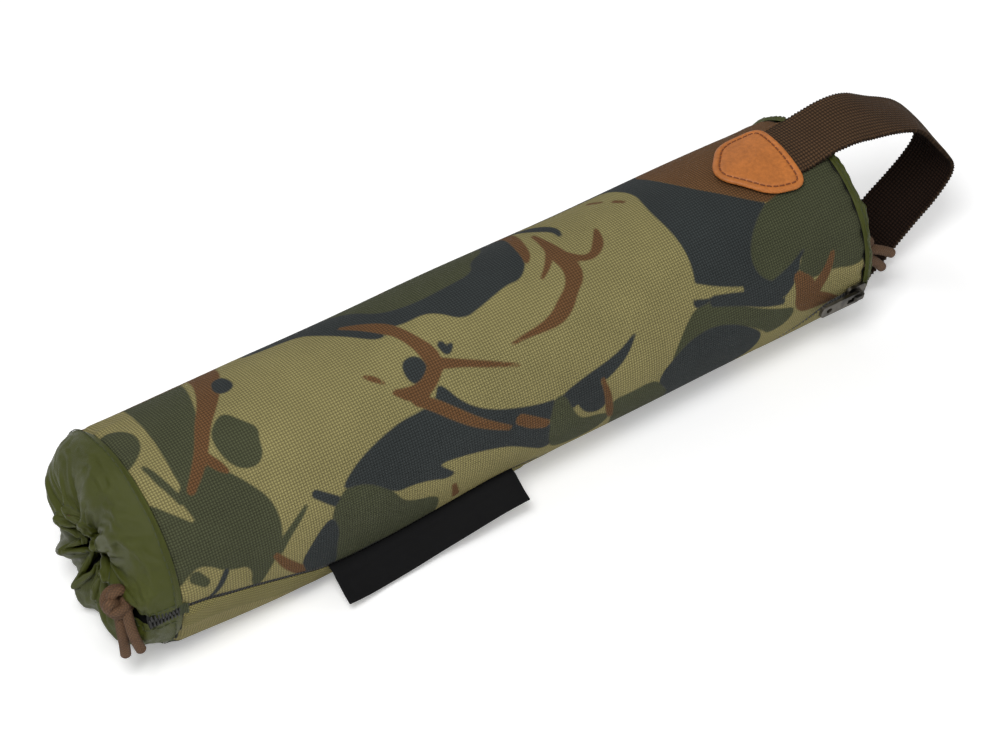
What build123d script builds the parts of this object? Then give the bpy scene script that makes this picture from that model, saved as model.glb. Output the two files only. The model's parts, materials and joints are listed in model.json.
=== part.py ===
"""A zipped camouflage sleeve round a split foam tube: a float for a net handle, or a retrieving dummy.

Millimetres. The tube lies along X with the webbing loop at +X. The origin is on the resting face, below
the middle of the sleeve. +Z is up and the zip runs along the -Y side.
"""

import os
from math import atan2, cos, degrees, pi, radians, sin, sqrt, tan

from build123d import *

# Sleeve: the woven panel between its two cuff seams
SLEEVE_LENGTH = 290.0
SLEEVE_RADIUS = 38.0
SKIN = 0.8                  # fabric thickness
REST_WIDTH = 20.0           # width that presses flat on a table
SLIT_WIDTH = 1.4            # open line between the two zip edges of the panel
SEAT_GAP = 0.1              # air between a fabric layer and what lies under it

# Foam core
FOAM_GAP = 0.2              # air between the foam and the zip's tapes
FOAM_END_GAP = 1.4          # between the foam's end and the hem
FOAM_ROUNDING_LESS = 2.5    # how much smaller the foam's rounding is than the cuff's shoulder
BORE_RADIUS = 15.0
FOAM_SPLIT = 1.0

# Cuffs, measured from the seam outwards along the tube
CUFF_STEP = 0.4             # how much lower the cuff lies than the sleeve
CUFF_WALL = 0.8
CUFF_STRAIGHT = 3.0
SHOULDER_RADIUS = 12.5
HEM_AIR = 0.4               # round the cord in its channel
HEM_WALL = 1.3              # gathered fabric round the channel
CUFF_SLIT = 7.0             # opening of the cuff at the zip

# Elastic cord
CORD_RADIUS = 1.9
KNOT_RADIUS = 4.6
KNOT_ROOM = 0.4             # clearance round the knot where it sits in the hem
KNOT_AHEAD = 3.5            # how far the knot stands out from the middle of the hem
KNOT_DROP = 4.0             # how far the knot lies below the tube's axis
ARC_SHARE = 0.45            # of a tail's shorter run, taken up by its bend

# Zip: a straight line that leans down a little towards the strap end
ZIP_NEAR_ANGLE = -4.0       # degrees round the tube from the -Y side, at the near seam
ZIP_FAR_ANGLE = -14.0       # the same at the far seam
ZIP_PAST_SEAM = 9.0
TAPE_THICKNESS = 0.5
TAPE_REACH = 12.0           # from the zip's centre line to the tape's outer edge
TAPE_REACH_IN_CUFF = 3.2
CHAIN_GAP = 1.4             # between the two coils
COIL_WIDTH = 1.6
COIL_HEIGHT = 1.6
COIL_GAP = 0.4              # air between the curved tape and the straight coil
STOP_LENGTH = 2.0
TAPE_END_GAP = 0.5          # from the wide part of the tape to each seam
SLIDER_LENGTH = 9.0
SLIDER_WIDTH = 7.6
SLIDER_PLATE = 1.2
SLIDER_RUN_GAP = 0.4        # above the panel and below the coils
SLIDER_BACK_FROM_SEAM = 4.0
CROWN_LENGTH = 4.6
CROWN_WIDTH = 2.0
CROWN_HEIGHT = 2.8
CROWN_ROUNDING = 1.0
SLIDER_ROUNDING = 2.2
POST_LENGTH = 2.6
POST_GAP = 0.3              # on each side of the post, in the slit
PIN_RADIUS = 0.68
PIN_HOLE_RADIUS = 0.75
TAB_LENGTH = 19.0
TAB_WIDTH = 5.4
TAB_THICKNESS = 1.2
TAB_ROUNDING = 1.9
TAB_GAP = 0.3               # on each side of the crown
TAB_SWING_GAP = 0.15        # between the turning tab and the slider's plate
TAB_WINDOW = 5.5            # from the pin to the near end of the opening between the arms
TAB_HOLE_RADIUS = 1.2
TAB_HOLE_FROM_END = 3.7

# Strap: flat webbing whose loop swings about an upright line just past the far seam
WEB_WIDTH = 25.0
WEB_THICKNESS = 1.6
STRAP_Y = -2.0
SWING_GAP = 0.3
END_GAP = 0.2               # from the top anchor to the loop's round end
TOP_ANCHOR_LENGTH = 40.0
BOTTOM_ANCHOR_LENGTH = 22.0
FLOOR_GAP = 0.3
CUFF_OVER_STRAP = 1.0       # air between the far cuff's flat and the loop's lower round end
POCKET_END_GAP = 1.0
LOOP_LIFT = 0.34            # air between the sleeve's top and the loop's round end
LOOP_TOP_PAST_SEAM = 28.0   # where the loop leaves the level at the top, and at the bottom
LOOP_BOTTOM_PAST_SEAM = 31.0
LOOP_POINTS = [(60.0, 12.84), (67.5, -0.66), (62.0, -9.16)]     # past the far seam, up from the tube's axis
LOOP_RADII = [14.0, 15.0, 8.0, 8.0, 12.0]

# Patch: a rounded shield, its tip towards the near end
PATCH_THICKNESS = 1.5
PATCH_BACK_FROM_SEAM = 11.7
PATCH_LENGTH = 34.8
PATCH_SHOULDER = 18.3       # from the patch's straight end to its widest place
PATCH_HALF_WIDTH = 15.2
PATCH_END_HALF_WIDTH = 13.0
PATCH_TIP_ROUNDING = 6.0
PATCH_SHOULDER_ROUNDING = 12.0
PATCH_END_ROUNDING = 7.0
STITCH_INSET = 2.5
STITCH_LENGTH = 1.9
STITCH_WIDTH = 0.6
STITCH_HEIGHT = 0.4
STITCH_COUNT = 36

# Label: folded woven tape standing out from the sleeve
LABEL_LENGTH = 77.0
LABEL_DROP = 16.0
LABEL_THICKNESS = 0.8
LABEL_FROM_SEAM = 54.7      # from the near seam to its nearer end
LABEL_ANGLE = -30.0         # degrees round the tube from the -Y side
LABEL_LEAN = 45.0           # degrees below level
LABEL_GAP = 0.3             # between its rounded upper edge and the sleeve

# Worked out from the sizes above
CUFF_RADIUS = SLEEVE_RADIUS - CUFF_STEP
HEM_BORE = CORD_RADIUS + HEM_AIR
HEM_RADIUS = HEM_BORE + HEM_WALL
SAG = SLEEVE_RADIUS - sqrt(SLEEVE_RADIUS**2 - (REST_WIDTH / 2) ** 2)
AXIS_Z = SLEEVE_RADIUS - SAG
HALF = SLEEVE_LENGTH / 2
TUBE_AXIS = Axis((0, 0, AXIS_Z), (1, 0, 0))
PROFILE = Plane(origin=(0, 0, AXIS_Z), x_dir=(1, 0, 0), z_dir=(0, -1, 0))
FLOOR_DEPTH = 20.0          # size of the blocks that trim a flat
RING_RADIUS = CUFF_RADIUS - SHOULDER_RADIUS - HEM_RADIUS
HEM_PAST_SEAM = CUFF_STRAIGHT + SHOULDER_RADIUS
KNOT_PAST_SEAM = HEM_PAST_SEAM + KNOT_AHEAD
KNOT_Y = -RING_RADIUS
FOAM_PAST_SEAM = HEM_PAST_SEAM - HEM_RADIUS - FOAM_END_GAP
FOAM_ROUNDING = SHOULDER_RADIUS - FOAM_ROUNDING_LESS
STRAP_CUFF_FLAT = FLOOR_GAP + WEB_THICKNESS + CUFF_OVER_STRAP


def cross_plane(x):
    """The plane across the tube at x: its local x is +Y and its local y is +Z, from the tube's axis."""
    return Plane(origin=(x, 0, AXIS_Z), x_dir=(0, 1, 0), z_dir=(1, 0, 0))


def on_sleeve(x, angle, radius):
    """A point at this angle round the tube, from the -Y side upwards."""
    turn = radians(angle)
    return Vector(x, -radius * cos(turn), AXIS_Z + radius * sin(turn))


zip_near = on_sleeve(-HALF, ZIP_NEAR_ANGLE, SLEEVE_RADIUS)
zip_far = on_sleeve(HALF, ZIP_FAR_ANGLE, SLEEVE_RADIUS)
zip_middle_angle = (ZIP_NEAR_ANGLE + ZIP_FAR_ANGLE) / 2
zip_out = on_sleeve(0, zip_middle_angle, 1) - Vector(0, 0, AXIS_Z)
# Local x runs along the zip to the strap end, local y up round the tube, local z straight out.
ZIP = Plane(origin=(zip_near + zip_far) / 2, x_dir=zip_far - zip_near, z_dir=zip_out)
ZIP_HALF = HALF + ZIP_PAST_SEAM
TAPE_TOP_RADIUS = SLEEVE_RADIUS - SKIN - SEAT_GAP
FOAM_RADIUS = TAPE_TOP_RADIUS - TAPE_THICKNESS - FOAM_GAP
COIL_TOP = TAPE_TOP_RADIUS - TAPE_THICKNESS - SLEEVE_RADIUS - COIL_GAP
COIL_BOTTOM = COIL_TOP - COIL_HEIGHT
SLIDER_TOP_Z = SLIDER_RUN_GAP
SLIDER_BOTTOM_Z = COIL_BOTTOM - SLIDER_RUN_GAP - SLIDER_PLATE
SLIDER_X = HALF - SLIDER_BACK_FROM_SEAM
ANCHOR_INNER_RADIUS = TAPE_TOP_RADIUS - WEB_THICKNESS
ANCHOR_EDGE = WEB_WIDTH / 2 + abs(STRAP_Y)
STRAP_POCKET_TOP = AXIS_Z - sqrt(ANCHOR_INNER_RADIUS**2 - ANCHOR_EDGE**2) + 2 * SEAT_GAP
HINGE_X = HALF + END_GAP + SWING_GAP + WEB_WIDTH / 2
CHANNEL_DEPTH = SLIDER_RUN_GAP - SLIDER_BOTTOM_Z
CHANNEL_WIDTH = SLIDER_WIDTH + 2 * SLIDER_RUN_GAP
PIN_Z = SLIDER_TOP_Z + SLIDER_PLATE + CROWN_HEIGHT / 2
TAB_ARM_END = sqrt((CROWN_HEIGHT / 2 - TAB_SWING_GAP) ** 2 - (TAB_THICKNESS / 2) ** 2)
TAB_PIN_LENGTH = CROWN_WIDTH + 2 * TAB_GAP + (TAB_WIDTH - CROWN_WIDTH) / 2

os.makedirs("parts", exist_ok=True)

# Foam core: a rounded tube with a bore, a split, a channel behind the zip and a pocket for the strap's end
with BuildPart() as foam_core:
    with BuildSketch(cross_plane(-HALF - FOAM_PAST_SEAM)):
        Circle(FOAM_RADIUS)
    extrude(amount=SLEEVE_LENGTH + 2 * FOAM_PAST_SEAM)
    fillet(foam_core.edges().filter_by(GeomType.CIRCLE), FOAM_ROUNDING)
    with BuildSketch(cross_plane(-HALF - FOAM_PAST_SEAM)):
        Circle(BORE_RADIUS)
    extrude(amount=SLEEVE_LENGTH + 2 * FOAM_PAST_SEAM, mode=Mode.SUBTRACT)
    # resting flat
    with BuildSketch(Plane.XY.offset(SKIN + 2 * SEAT_GAP)):
        Rectangle(2 * SLEEVE_LENGTH, 4 * SLEEVE_RADIUS)
    extrude(amount=-FLOOR_DEPTH, mode=Mode.SUBTRACT)
    # pocket for the strap's lower end, open to the far end
    with BuildSketch(Plane.XY.offset(STRAP_POCKET_TOP)):
        with Locations((HALF - BOTTOM_ANCHOR_LENGTH - POCKET_END_GAP, 0)):
            Rectangle(SLEEVE_LENGTH, 4 * SLEEVE_RADIUS, align=(Align.MIN, Align.CENTER))
    extrude(amount=-FLOOR_DEPTH, mode=Mode.SUBTRACT)
    # channel behind the zip, then the split down to the bore
    with BuildSketch(ZIP.offset(-CHANNEL_DEPTH)):
        Rectangle(2 * SLEEVE_LENGTH, CHANNEL_WIDTH)
    extrude(amount=FLOOR_DEPTH, mode=Mode.SUBTRACT)
    with BuildSketch(ZIP.offset(-SLEEVE_RADIUS + BORE_RADIUS / 2)):
        Rectangle(2 * SLEEVE_LENGTH, FOAM_SPLIT)
    extrude(amount=SLEEVE_RADIUS, mode=Mode.SUBTRACT)
foam_core.part.label = "foam_core"
export_step(foam_core.part, "parts/foam_core.step")

# Sleeve panel: one turn of fabric, flat where it rests, open along the zip
with BuildPart() as sleeve_panel:
    with BuildSketch(cross_plane(-HALF)):
        Circle(SLEEVE_RADIUS)
    extrude(amount=SLEEVE_LENGTH)
    with BuildSketch(Plane.XY):
        Rectangle(2 * SLEEVE_LENGTH, 4 * SLEEVE_RADIUS)
    extrude(amount=-FLOOR_DEPTH, mode=Mode.SUBTRACT)
    with BuildSketch(cross_plane(-HALF)) as sleeve_inside:
        Circle(SLEEVE_RADIUS - SKIN)
        with Locations((0, SKIN - AXIS_Z)):
            Rectangle(
                4 * SLEEVE_RADIUS, FLOOR_DEPTH, align=(Align.CENTER, Align.MAX), mode=Mode.SUBTRACT
            )
    extrude(amount=SLEEVE_LENGTH, mode=Mode.SUBTRACT)
    with BuildSketch(ZIP.offset(-FLOOR_DEPTH / 2)):
        Rectangle(2 * SLEEVE_LENGTH, SLIT_WIDTH)
    extrude(amount=FLOOR_DEPTH, mode=Mode.SUBTRACT)
sleeve_panel.part.label = "sleeve_panel"
export_step(sleeve_panel.part, "parts/sleeve_panel.step")

# Cuffs, their elastic cords and the cords' knots, at the near end (-1) and the far end (+1)
for end, side, flat in (("near", -1, 0.0), ("far", 1, STRAP_CUFF_FLAT)):
    knot_x = side * (HALF + KNOT_PAST_SEAM)

    # what the cuff's inner face encloses, flat below
    with BuildPart() as cuff_inside:
        with BuildSketch(PROFILE):
            with BuildLine():
                inner_top = Line(
                    (side * (HALF - 1), CUFF_RADIUS - CUFF_WALL),
                    (side * (HALF + CUFF_STRAIGHT), CUFF_RADIUS - CUFF_WALL),
                )
                inner_turn = JernArc(
                    start=inner_top @ 1,
                    tangent=(side, 0),
                    radius=SHOULDER_RADIUS - CUFF_WALL,
                    arc_size=-side * 90,
                )
                Polyline(
                    inner_turn @ 1,
                    (side * (HALF + HEM_PAST_SEAM - CUFF_WALL), 0),
                    (side * (HALF - 1), 0),
                    inner_top @ 0,
                )
            make_face()
        revolve(axis=TUBE_AXIS)
        with BuildSketch(Plane.XY.offset(flat + CUFF_WALL)):
            Rectangle(2 * SLEEVE_LENGTH, 4 * SLEEVE_RADIUS)
        extrude(amount=-FLOOR_DEPTH, mode=Mode.SUBTRACT)

    with BuildPart() as cuff:
        with BuildSketch(PROFILE):
            with BuildLine():
                outer_top = Line(
                    (side * HALF, CUFF_RADIUS),
                    (side * (HALF + CUFF_STRAIGHT), CUFF_RADIUS),
                )
                outer_turn = JernArc(
                    start=outer_top @ 1, tangent=(side, 0), radius=SHOULDER_RADIUS, arc_size=-side * 90
                )
                Polyline(outer_turn @ 1, (side * (HALF + HEM_PAST_SEAM), 0), (side * HALF, 0), outer_top @ 0)
            make_face()
        revolve(axis=TUBE_AXIS)
        with BuildSketch(Plane.XY.offset(flat)):
            Rectangle(2 * SLEEVE_LENGTH, 4 * SLEEVE_RADIUS)
        extrude(amount=-FLOOR_DEPTH, mode=Mode.SUBTRACT)
        add(cuff_inside.part, mode=Mode.SUBTRACT)
        # mouth, then the hem with its cord channel
        with BuildSketch(cross_plane(0)):
            Circle(RING_RADIUS)
        extrude(amount=side * SLEEVE_LENGTH, mode=Mode.SUBTRACT)
        with BuildSketch(PROFILE):
            with Locations((side * (HALF + HEM_PAST_SEAM), RING_RADIUS)):
                Circle(HEM_RADIUS)
        revolve(axis=TUBE_AXIS)
        with BuildSketch(PROFILE):
            with Locations((side * (HALF + HEM_PAST_SEAM), RING_RADIUS)):
                Circle(HEM_BORE)
        revolve(axis=TUBE_AXIS, mode=Mode.SUBTRACT)
        # slit at the zip, and room for the knot
        with BuildSketch(ZIP.offset(-SLEEVE_RADIUS + BORE_RADIUS / 2)):
            Rectangle(2 * SLEEVE_LENGTH, CUFF_SLIT)
        extrude(amount=SLEEVE_RADIUS, mode=Mode.SUBTRACT)
        with BuildSketch(cross_plane(side * (HALF + CUFF_STRAIGHT + SHOULDER_RADIUS / 2))):
            with Locations((KNOT_Y, -KNOT_DROP)):
                Circle(KNOT_RADIUS + KNOT_ROOM)
        extrude(amount=side * SLEEVE_LENGTH, mode=Mode.SUBTRACT)
    cuff.part.label = f"{end}_cuff"
    export_step(cuff.part, f"parts/{end}_cuff.step")

    with BuildPart() as hem_cord:
        with BuildSketch(PROFILE):
            with Locations((side * (HALF + HEM_PAST_SEAM), RING_RADIUS)):
                Circle(CORD_RADIUS)
        revolve(axis=TUBE_AXIS)
        with BuildSketch(cross_plane(side * HALF)):
            with Locations((KNOT_Y, -KNOT_DROP)):
                Circle(KNOT_RADIUS + KNOT_ROOM)
        extrude(amount=side * SLEEVE_LENGTH, mode=Mode.SUBTRACT)
    hem_cord.part.label = f"{end}_hem_cord"
    export_step(hem_cord.part, f"parts/{end}_hem_cord.step")

    with BuildPart() as knot:
        with Locations((knot_x, KNOT_Y, AXIS_Z - KNOT_DROP)):
            Sphere(KNOT_RADIUS)
    knot.part.label = f"{end}_knot"
    export_step(knot.part, f"parts/{end}_knot.step")

# Cord tails: outwards, across and up from the knot's middle, from inside the knot to the cut end
TAIL_ROUTES = {
    "near_tail_a": (
        -1,
        [(1.9, 1.1, -3.2), (3.6, -0.3, -10.4), (2.0, -0.5, -18.8), (-1.5, 0.2, -27.5)],
    ),
    "near_tail_b": (
        -1,
        [(1.2, -3.1, -1.4), (2.4, -6.1, -8.2), (0.2, -7.5, -15.6), (-4.4, -8.1, -22.6)],
    ),
    "far_tail_a": (
        1,
        [(2.0, -0.9, -0.2), (6.4, -2.9, -4.4), (9.6, -2.9, -9.6), (11.4, -1.3, -15.2)],
    ),
    "far_tail_b": (
        1,
        [(0.2, -2.5, -3.4), (3.4, -4.7, -8.6), (5.6, -4.3, -14.8), (5.8, -2.1, -21.0)],
    ),
}
for name, (side, route) in TAIL_ROUTES.items():
    knot_middle = Vector(side * (HALF + KNOT_PAST_SEAM), KNOT_Y, AXIS_Z - KNOT_DROP)
    corners = [knot_middle + Vector(side * along, across, up) for along, across, up in route]
    runs = [corners[i + 1] - corners[i] for i in range(len(corners) - 1)]
    radii = []
    for before, after in zip(runs, runs[1:]):
        half_turn = radians(before.get_angle(after)) / 2
        radii.append(ARC_SHARE * min(before.length, after.length) / tan(half_turn))
    print(name, "arc radii", [round(value, 1) for value in radii])
    with BuildPart() as tail:
        with BuildLine() as tail_line:
            FilletPolyline(*corners, radius=radii)
        with BuildSketch(Plane(origin=corners[0], z_dir=runs[0])):
            Circle(CORD_RADIUS)
        sweep()
    tail_length = sum(edge.length for edge in tail_line.edges())
    tail_volume = pi * CORD_RADIUS**2 * tail_length
    print(name, "length", round(tail_length, 1), "volume share", round(tail.part.volume / tail_volume, 4))
    tail.part.label = name
    export_step(tail.part, f"parts/{name}.step")

# Zip tapes and coils, above (+1) and below (-1) the zip's line
for edge, side in (("upper", 1), ("lower", -1)):
    tape_align = (Align.CENTER, Align.MIN if side > 0 else Align.MAX)
    # the tape hugs the inside of the panel, and narrows where it runs on into a cuff
    with BuildPart() as zip_tape:
        with BuildSketch(cross_plane(-ZIP_HALF - SLEEVE_RADIUS)):
            Circle(TAPE_TOP_RADIUS)
            Circle(TAPE_TOP_RADIUS - TAPE_THICKNESS, mode=Mode.SUBTRACT)
        extrude(amount=2 * (ZIP_HALF + SLEEVE_RADIUS))
        with BuildSketch(ZIP.offset(-FLOOR_DEPTH / 2)):
            with Locations((0, side * CHAIN_GAP / 2)):
                Rectangle(SLEEVE_LENGTH - 2 * TAPE_END_GAP, TAPE_REACH, align=tape_align)
                Rectangle(2 * ZIP_HALF, TAPE_REACH_IN_CUFF - CHAIN_GAP / 2, align=tape_align)
        extrude(amount=FLOOR_DEPTH, mode=Mode.INTERSECT)
    zip_tape.part.label = f"zip_tape_{edge}"
    export_step(zip_tape.part, f"parts/zip_tape_{edge}.step")

    with BuildPart() as zip_coil:
        with BuildSketch(ZIP.offset(COIL_BOTTOM)):
            with Locations((0, side * (CHAIN_GAP + COIL_WIDTH) / 2)):
                Rectangle(2 * (ZIP_HALF - STOP_LENGTH - SEAT_GAP), COIL_WIDTH)
        extrude(amount=COIL_HEIGHT)
    zip_coil.part.label = f"zip_coil_{edge}"
    export_step(zip_coil.part, f"parts/zip_coil_{edge}.step")

# Stops at the ends of the coils: one across both at the near end, one on each at the far end
with BuildPart() as zip_bottom_stop:
    with BuildSketch(ZIP.offset(COIL_BOTTOM)):
        with Locations((-ZIP_HALF, 0)):
            Rectangle(STOP_LENGTH, CHAIN_GAP + 2 * COIL_WIDTH, align=(Align.MIN, Align.CENTER))
    extrude(amount=COIL_HEIGHT)
zip_bottom_stop.part.label = "zip_bottom_stop"
export_step(zip_bottom_stop.part, "parts/zip_bottom_stop.step")

with BuildPart() as zip_top_stops:
    with BuildSketch(ZIP.offset(COIL_BOTTOM)):
        with Locations(
            (ZIP_HALF - STOP_LENGTH / 2, (CHAIN_GAP + COIL_WIDTH) / 2),
            (ZIP_HALF - STOP_LENGTH / 2, -(CHAIN_GAP + COIL_WIDTH) / 2),
        ):
            Rectangle(STOP_LENGTH, COIL_WIDTH)
    extrude(amount=COIL_HEIGHT)
zip_top_stops.part.label = "zip_top_stops"
export_step(zip_top_stops.part, "parts/zip_top_stops.step")

# Slider: two plates joined by a post that runs in the slit, with a crown that holds the pull tab
with BuildPart() as zip_slider:
    for base in (SLIDER_TOP_Z, SLIDER_BOTTOM_Z):
        with BuildSketch(ZIP.offset(base)):
            with Locations((SLIDER_X, 0)):
                RectangleRounded(SLIDER_LENGTH, SLIDER_WIDTH, SLIDER_ROUNDING)
        extrude(amount=SLIDER_PLATE)
    with BuildSketch(ZIP.offset(SLIDER_BOTTOM_Z)):
        with Locations((SLIDER_X + SLIDER_LENGTH / 2 - SLIDER_ROUNDING, 0)):
            Rectangle(POST_LENGTH, CHAIN_GAP - 2 * POST_GAP)
    extrude(amount=SLIDER_TOP_Z - SLIDER_BOTTOM_Z + SLIDER_PLATE / 2)
    with BuildSketch(ZIP.offset(SLIDER_TOP_Z + SLIDER_PLATE)):
        with Locations((SLIDER_X, 0)):
            Rectangle(CROWN_LENGTH, CROWN_WIDTH)
    extrude(amount=CROWN_HEIGHT)
    crown_top = zip_slider.faces().sort_by(Axis(ZIP.origin, ZIP.z_dir))[-1]
    fillet(crown_top.edges().filter_by(Axis(ZIP.origin, ZIP.y_dir)), CROWN_ROUNDING)
    with BuildSketch(Plane(origin=ZIP.from_local_coords((SLIDER_X, -CROWN_WIDTH, PIN_Z)), z_dir=ZIP.y_dir)):
        Circle(PIN_HOLE_RADIUS)
    extrude(amount=2 * CROWN_WIDTH, mode=Mode.SUBTRACT)
zip_slider.part.label = "zip_slider"
export_step(zip_slider.part, "parts/zip_slider.step")

# Pull tab: two arms on a pin through the crown, and a plate that lies along the zip towards the near end
with BuildPart() as zip_pull_tab:
    with BuildSketch(ZIP.offset(PIN_Z - TAB_THICKNESS / 2)):
        with Locations((SLIDER_X + TAB_ARM_END, 0)):
            RectangleRounded(TAB_LENGTH, TAB_WIDTH, TAB_ROUNDING, align=(Align.MAX, Align.CENTER))
        with Locations((SLIDER_X - TAB_WINDOW, 0)):
            Rectangle(
                2 * TAB_WINDOW,
                CROWN_WIDTH + 2 * TAB_GAP,
                align=(Align.MIN, Align.CENTER),
                mode=Mode.SUBTRACT,
            )
        with Locations((SLIDER_X + TAB_ARM_END - TAB_LENGTH + TAB_HOLE_FROM_END, 0)):
            Circle(TAB_HOLE_RADIUS, mode=Mode.SUBTRACT)
    extrude(amount=TAB_THICKNESS)
    with BuildSketch(
        Plane(origin=ZIP.from_local_coords((SLIDER_X, -TAB_PIN_LENGTH / 2, PIN_Z)), z_dir=ZIP.y_dir)
    ):
        Circle(PIN_RADIUS)
    extrude(amount=TAB_PIN_LENGTH)
zip_pull_tab.part.label = "zip_pull_tab"
export_step(zip_pull_tab.part, "parts/zip_pull_tab.step")

# Strap: the two sewn-in ends
with BuildPart() as strap_anchor_top:
    with BuildSketch(cross_plane(HALF + END_GAP)):
        Circle(SLEEVE_RADIUS + SEAT_GAP + WEB_THICKNESS)
        Circle(SLEEVE_RADIUS + SEAT_GAP, mode=Mode.SUBTRACT)
        with Locations((STRAP_Y, 0)):
            Rectangle(
                WEB_WIDTH, 2 * SLEEVE_RADIUS, align=(Align.CENTER, Align.MIN), mode=Mode.INTERSECT
            )
    extrude(amount=-TOP_ANCHOR_LENGTH)
strap_anchor_top.part.label = "strap_anchor_top"
export_step(strap_anchor_top.part, "parts/strap_anchor_top.step")

with BuildPart() as strap_anchor_bottom:
    with BuildSketch(cross_plane(HALF - SEAT_GAP)):
        with Locations((STRAP_Y, SKIN + SEAT_GAP - AXIS_Z)):
            Rectangle(WEB_WIDTH, SLEEVE_RADIUS / 2, align=(Align.CENTER, Align.MIN))
        Circle(TAPE_TOP_RADIUS, mode=Mode.INTERSECT)
    extrude(amount=-BOTTOM_ANCHOR_LENGTH)
    with BuildSketch(cross_plane(HALF)):
        Circle(ANCHOR_INNER_RADIUS)
        with Locations((0, SKIN + SEAT_GAP + WEB_THICKNESS - AXIS_Z)):
            Rectangle(
                4 * SLEEVE_RADIUS, FLOOR_DEPTH, align=(Align.CENTER, Align.MAX), mode=Mode.SUBTRACT
            )
    extrude(amount=-SLEEVE_LENGTH, mode=Mode.SUBTRACT)
strap_anchor_bottom.part.label = "strap_anchor_bottom"
export_step(strap_anchor_bottom.part, "parts/strap_anchor_bottom.step")

# Strap loop: round ends on the swing line, and the loop between them
LOOP_TOP_Z = AXIS_Z + SLEEVE_RADIUS + LOOP_LIFT + WEB_THICKNESS / 2
LOOP_BOTTOM_Z = FLOOR_GAP + WEB_THICKNESS / 2
loop_ends = (LOOP_TOP_Z, LOOP_BOTTOM_Z)
loop_corners = [
    (HINGE_X, STRAP_Y, LOOP_TOP_Z),
    (HALF + LOOP_TOP_PAST_SEAM, STRAP_Y, LOOP_TOP_Z),
    *((HALF + along, STRAP_Y, AXIS_Z + up) for along, up in LOOP_POINTS),
    (HALF + LOOP_BOTTOM_PAST_SEAM, STRAP_Y, LOOP_BOTTOM_Z),
    (HINGE_X, STRAP_Y, LOOP_BOTTOM_Z),
]
with BuildPart() as strap_loop:
    with BuildLine() as loop_line:
        FilletPolyline(*loop_corners, radius=LOOP_RADII)
    with BuildSketch(Plane(origin=loop_corners[0], x_dir=(0, 1, 0), z_dir=(1, 0, 0))):
        Rectangle(WEB_WIDTH, WEB_THICKNESS)
    sweep()
    for height in loop_ends:
        with BuildSketch(Plane.XY.offset(height - WEB_THICKNESS / 2)):
            with Locations((HINGE_X, STRAP_Y)):
                Circle(WEB_WIDTH / 2)
        extrude(amount=WEB_THICKNESS)
print("strap loop length", round(sum(edge.length for edge in loop_line.edges()), 1))
strap_loop.part.label = "strap_loop"
export_step(strap_loop.part, "parts/strap_loop.step")

# Patch and its border of stitches, both curved with the tube over the strap
PATCH_RADIUS = SLEEVE_RADIUS + 2 * SEAT_GAP + WEB_THICKNESS
PATCH_END_X = HALF - PATCH_BACK_FROM_SEAM
with BuildPart() as patch:
    with BuildSketch(Plane.XY.offset(AXIS_Z)) as patch_shape:
        with BuildLine(Plane.XY) as patch_line:
            FilletPolyline(
                (PATCH_END_X - PATCH_LENGTH, STRAP_Y),
                (PATCH_END_X - PATCH_SHOULDER, STRAP_Y + PATCH_HALF_WIDTH),
                (PATCH_END_X, STRAP_Y + PATCH_END_HALF_WIDTH),
                (PATCH_END_X, STRAP_Y - PATCH_END_HALF_WIDTH),
                (PATCH_END_X - PATCH_SHOULDER, STRAP_Y - PATCH_HALF_WIDTH),
                radius=[
                    PATCH_TIP_ROUNDING,
                    PATCH_SHOULDER_ROUNDING,
                    PATCH_END_ROUNDING,
                    PATCH_END_ROUNDING,
                    PATCH_SHOULDER_ROUNDING,
                ],
                close=True,
            )
        make_face()
    extrude(amount=2 * SLEEVE_RADIUS)
    with BuildSketch(cross_plane(0)):
        Circle(PATCH_RADIUS + PATCH_THICKNESS)
        Circle(PATCH_RADIUS, mode=Mode.SUBTRACT)
    extrude(amount=SLEEVE_LENGTH, mode=Mode.INTERSECT)
patch.part.label = "patch"
export_step(patch.part, "parts/patch.step")

stitch_path = patch_line.wires()[0].offset_2d(-STITCH_INSET)
stitch_spots = []
for number in range(STITCH_COUNT):
    share = number / STITCH_COUNT
    spot = stitch_path.position_at(share)
    heading = stitch_path.tangent_at(share)
    stitch_spots.append(Location((spot.X, spot.Y, 0), (0, 0, degrees(atan2(heading.Y, heading.X)))))
with BuildPart() as patch_stitches:
    with BuildSketch(Plane.XY.offset(AXIS_Z)):
        with Locations(*stitch_spots):
            SlotOverall(STITCH_LENGTH, STITCH_WIDTH)
    extrude(amount=2 * SLEEVE_RADIUS)
    with BuildSketch(cross_plane(0)):
        Circle(PATCH_RADIUS + PATCH_THICKNESS + STITCH_HEIGHT)
        Circle(PATCH_RADIUS + PATCH_THICKNESS, mode=Mode.SUBTRACT)
    extrude(amount=SLEEVE_LENGTH, mode=Mode.INTERSECT)
patch_stitches.part.label = "patch_stitches"
export_step(patch_stitches.part, "parts/patch_stitches.step")

# Label: its upper edge is a round fold close to the sleeve, and it leans out and down
LABEL_EDGE_RADIUS = SLEEVE_RADIUS + LABEL_GAP + LABEL_THICKNESS / 2
label_edge = on_sleeve(-HALF + LABEL_FROM_SEAM, LABEL_ANGLE, LABEL_EDGE_RADIUS)
label_down = Vector(0, -cos(radians(LABEL_LEAN)), -sin(radians(LABEL_LEAN)))
with BuildPart() as label:
    with BuildSketch(Plane(origin=label_edge, x_dir=label_down, z_dir=(1, 0, 0))):
        Rectangle(LABEL_DROP, LABEL_THICKNESS, align=(Align.MIN, Align.CENTER))
        Circle(LABEL_THICKNESS / 2)
    extrude(amount=LABEL_LENGTH)
label.part.label = "label"
export_step(label.part, "parts/label.step")
print("label hinge", label_edge)
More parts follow.
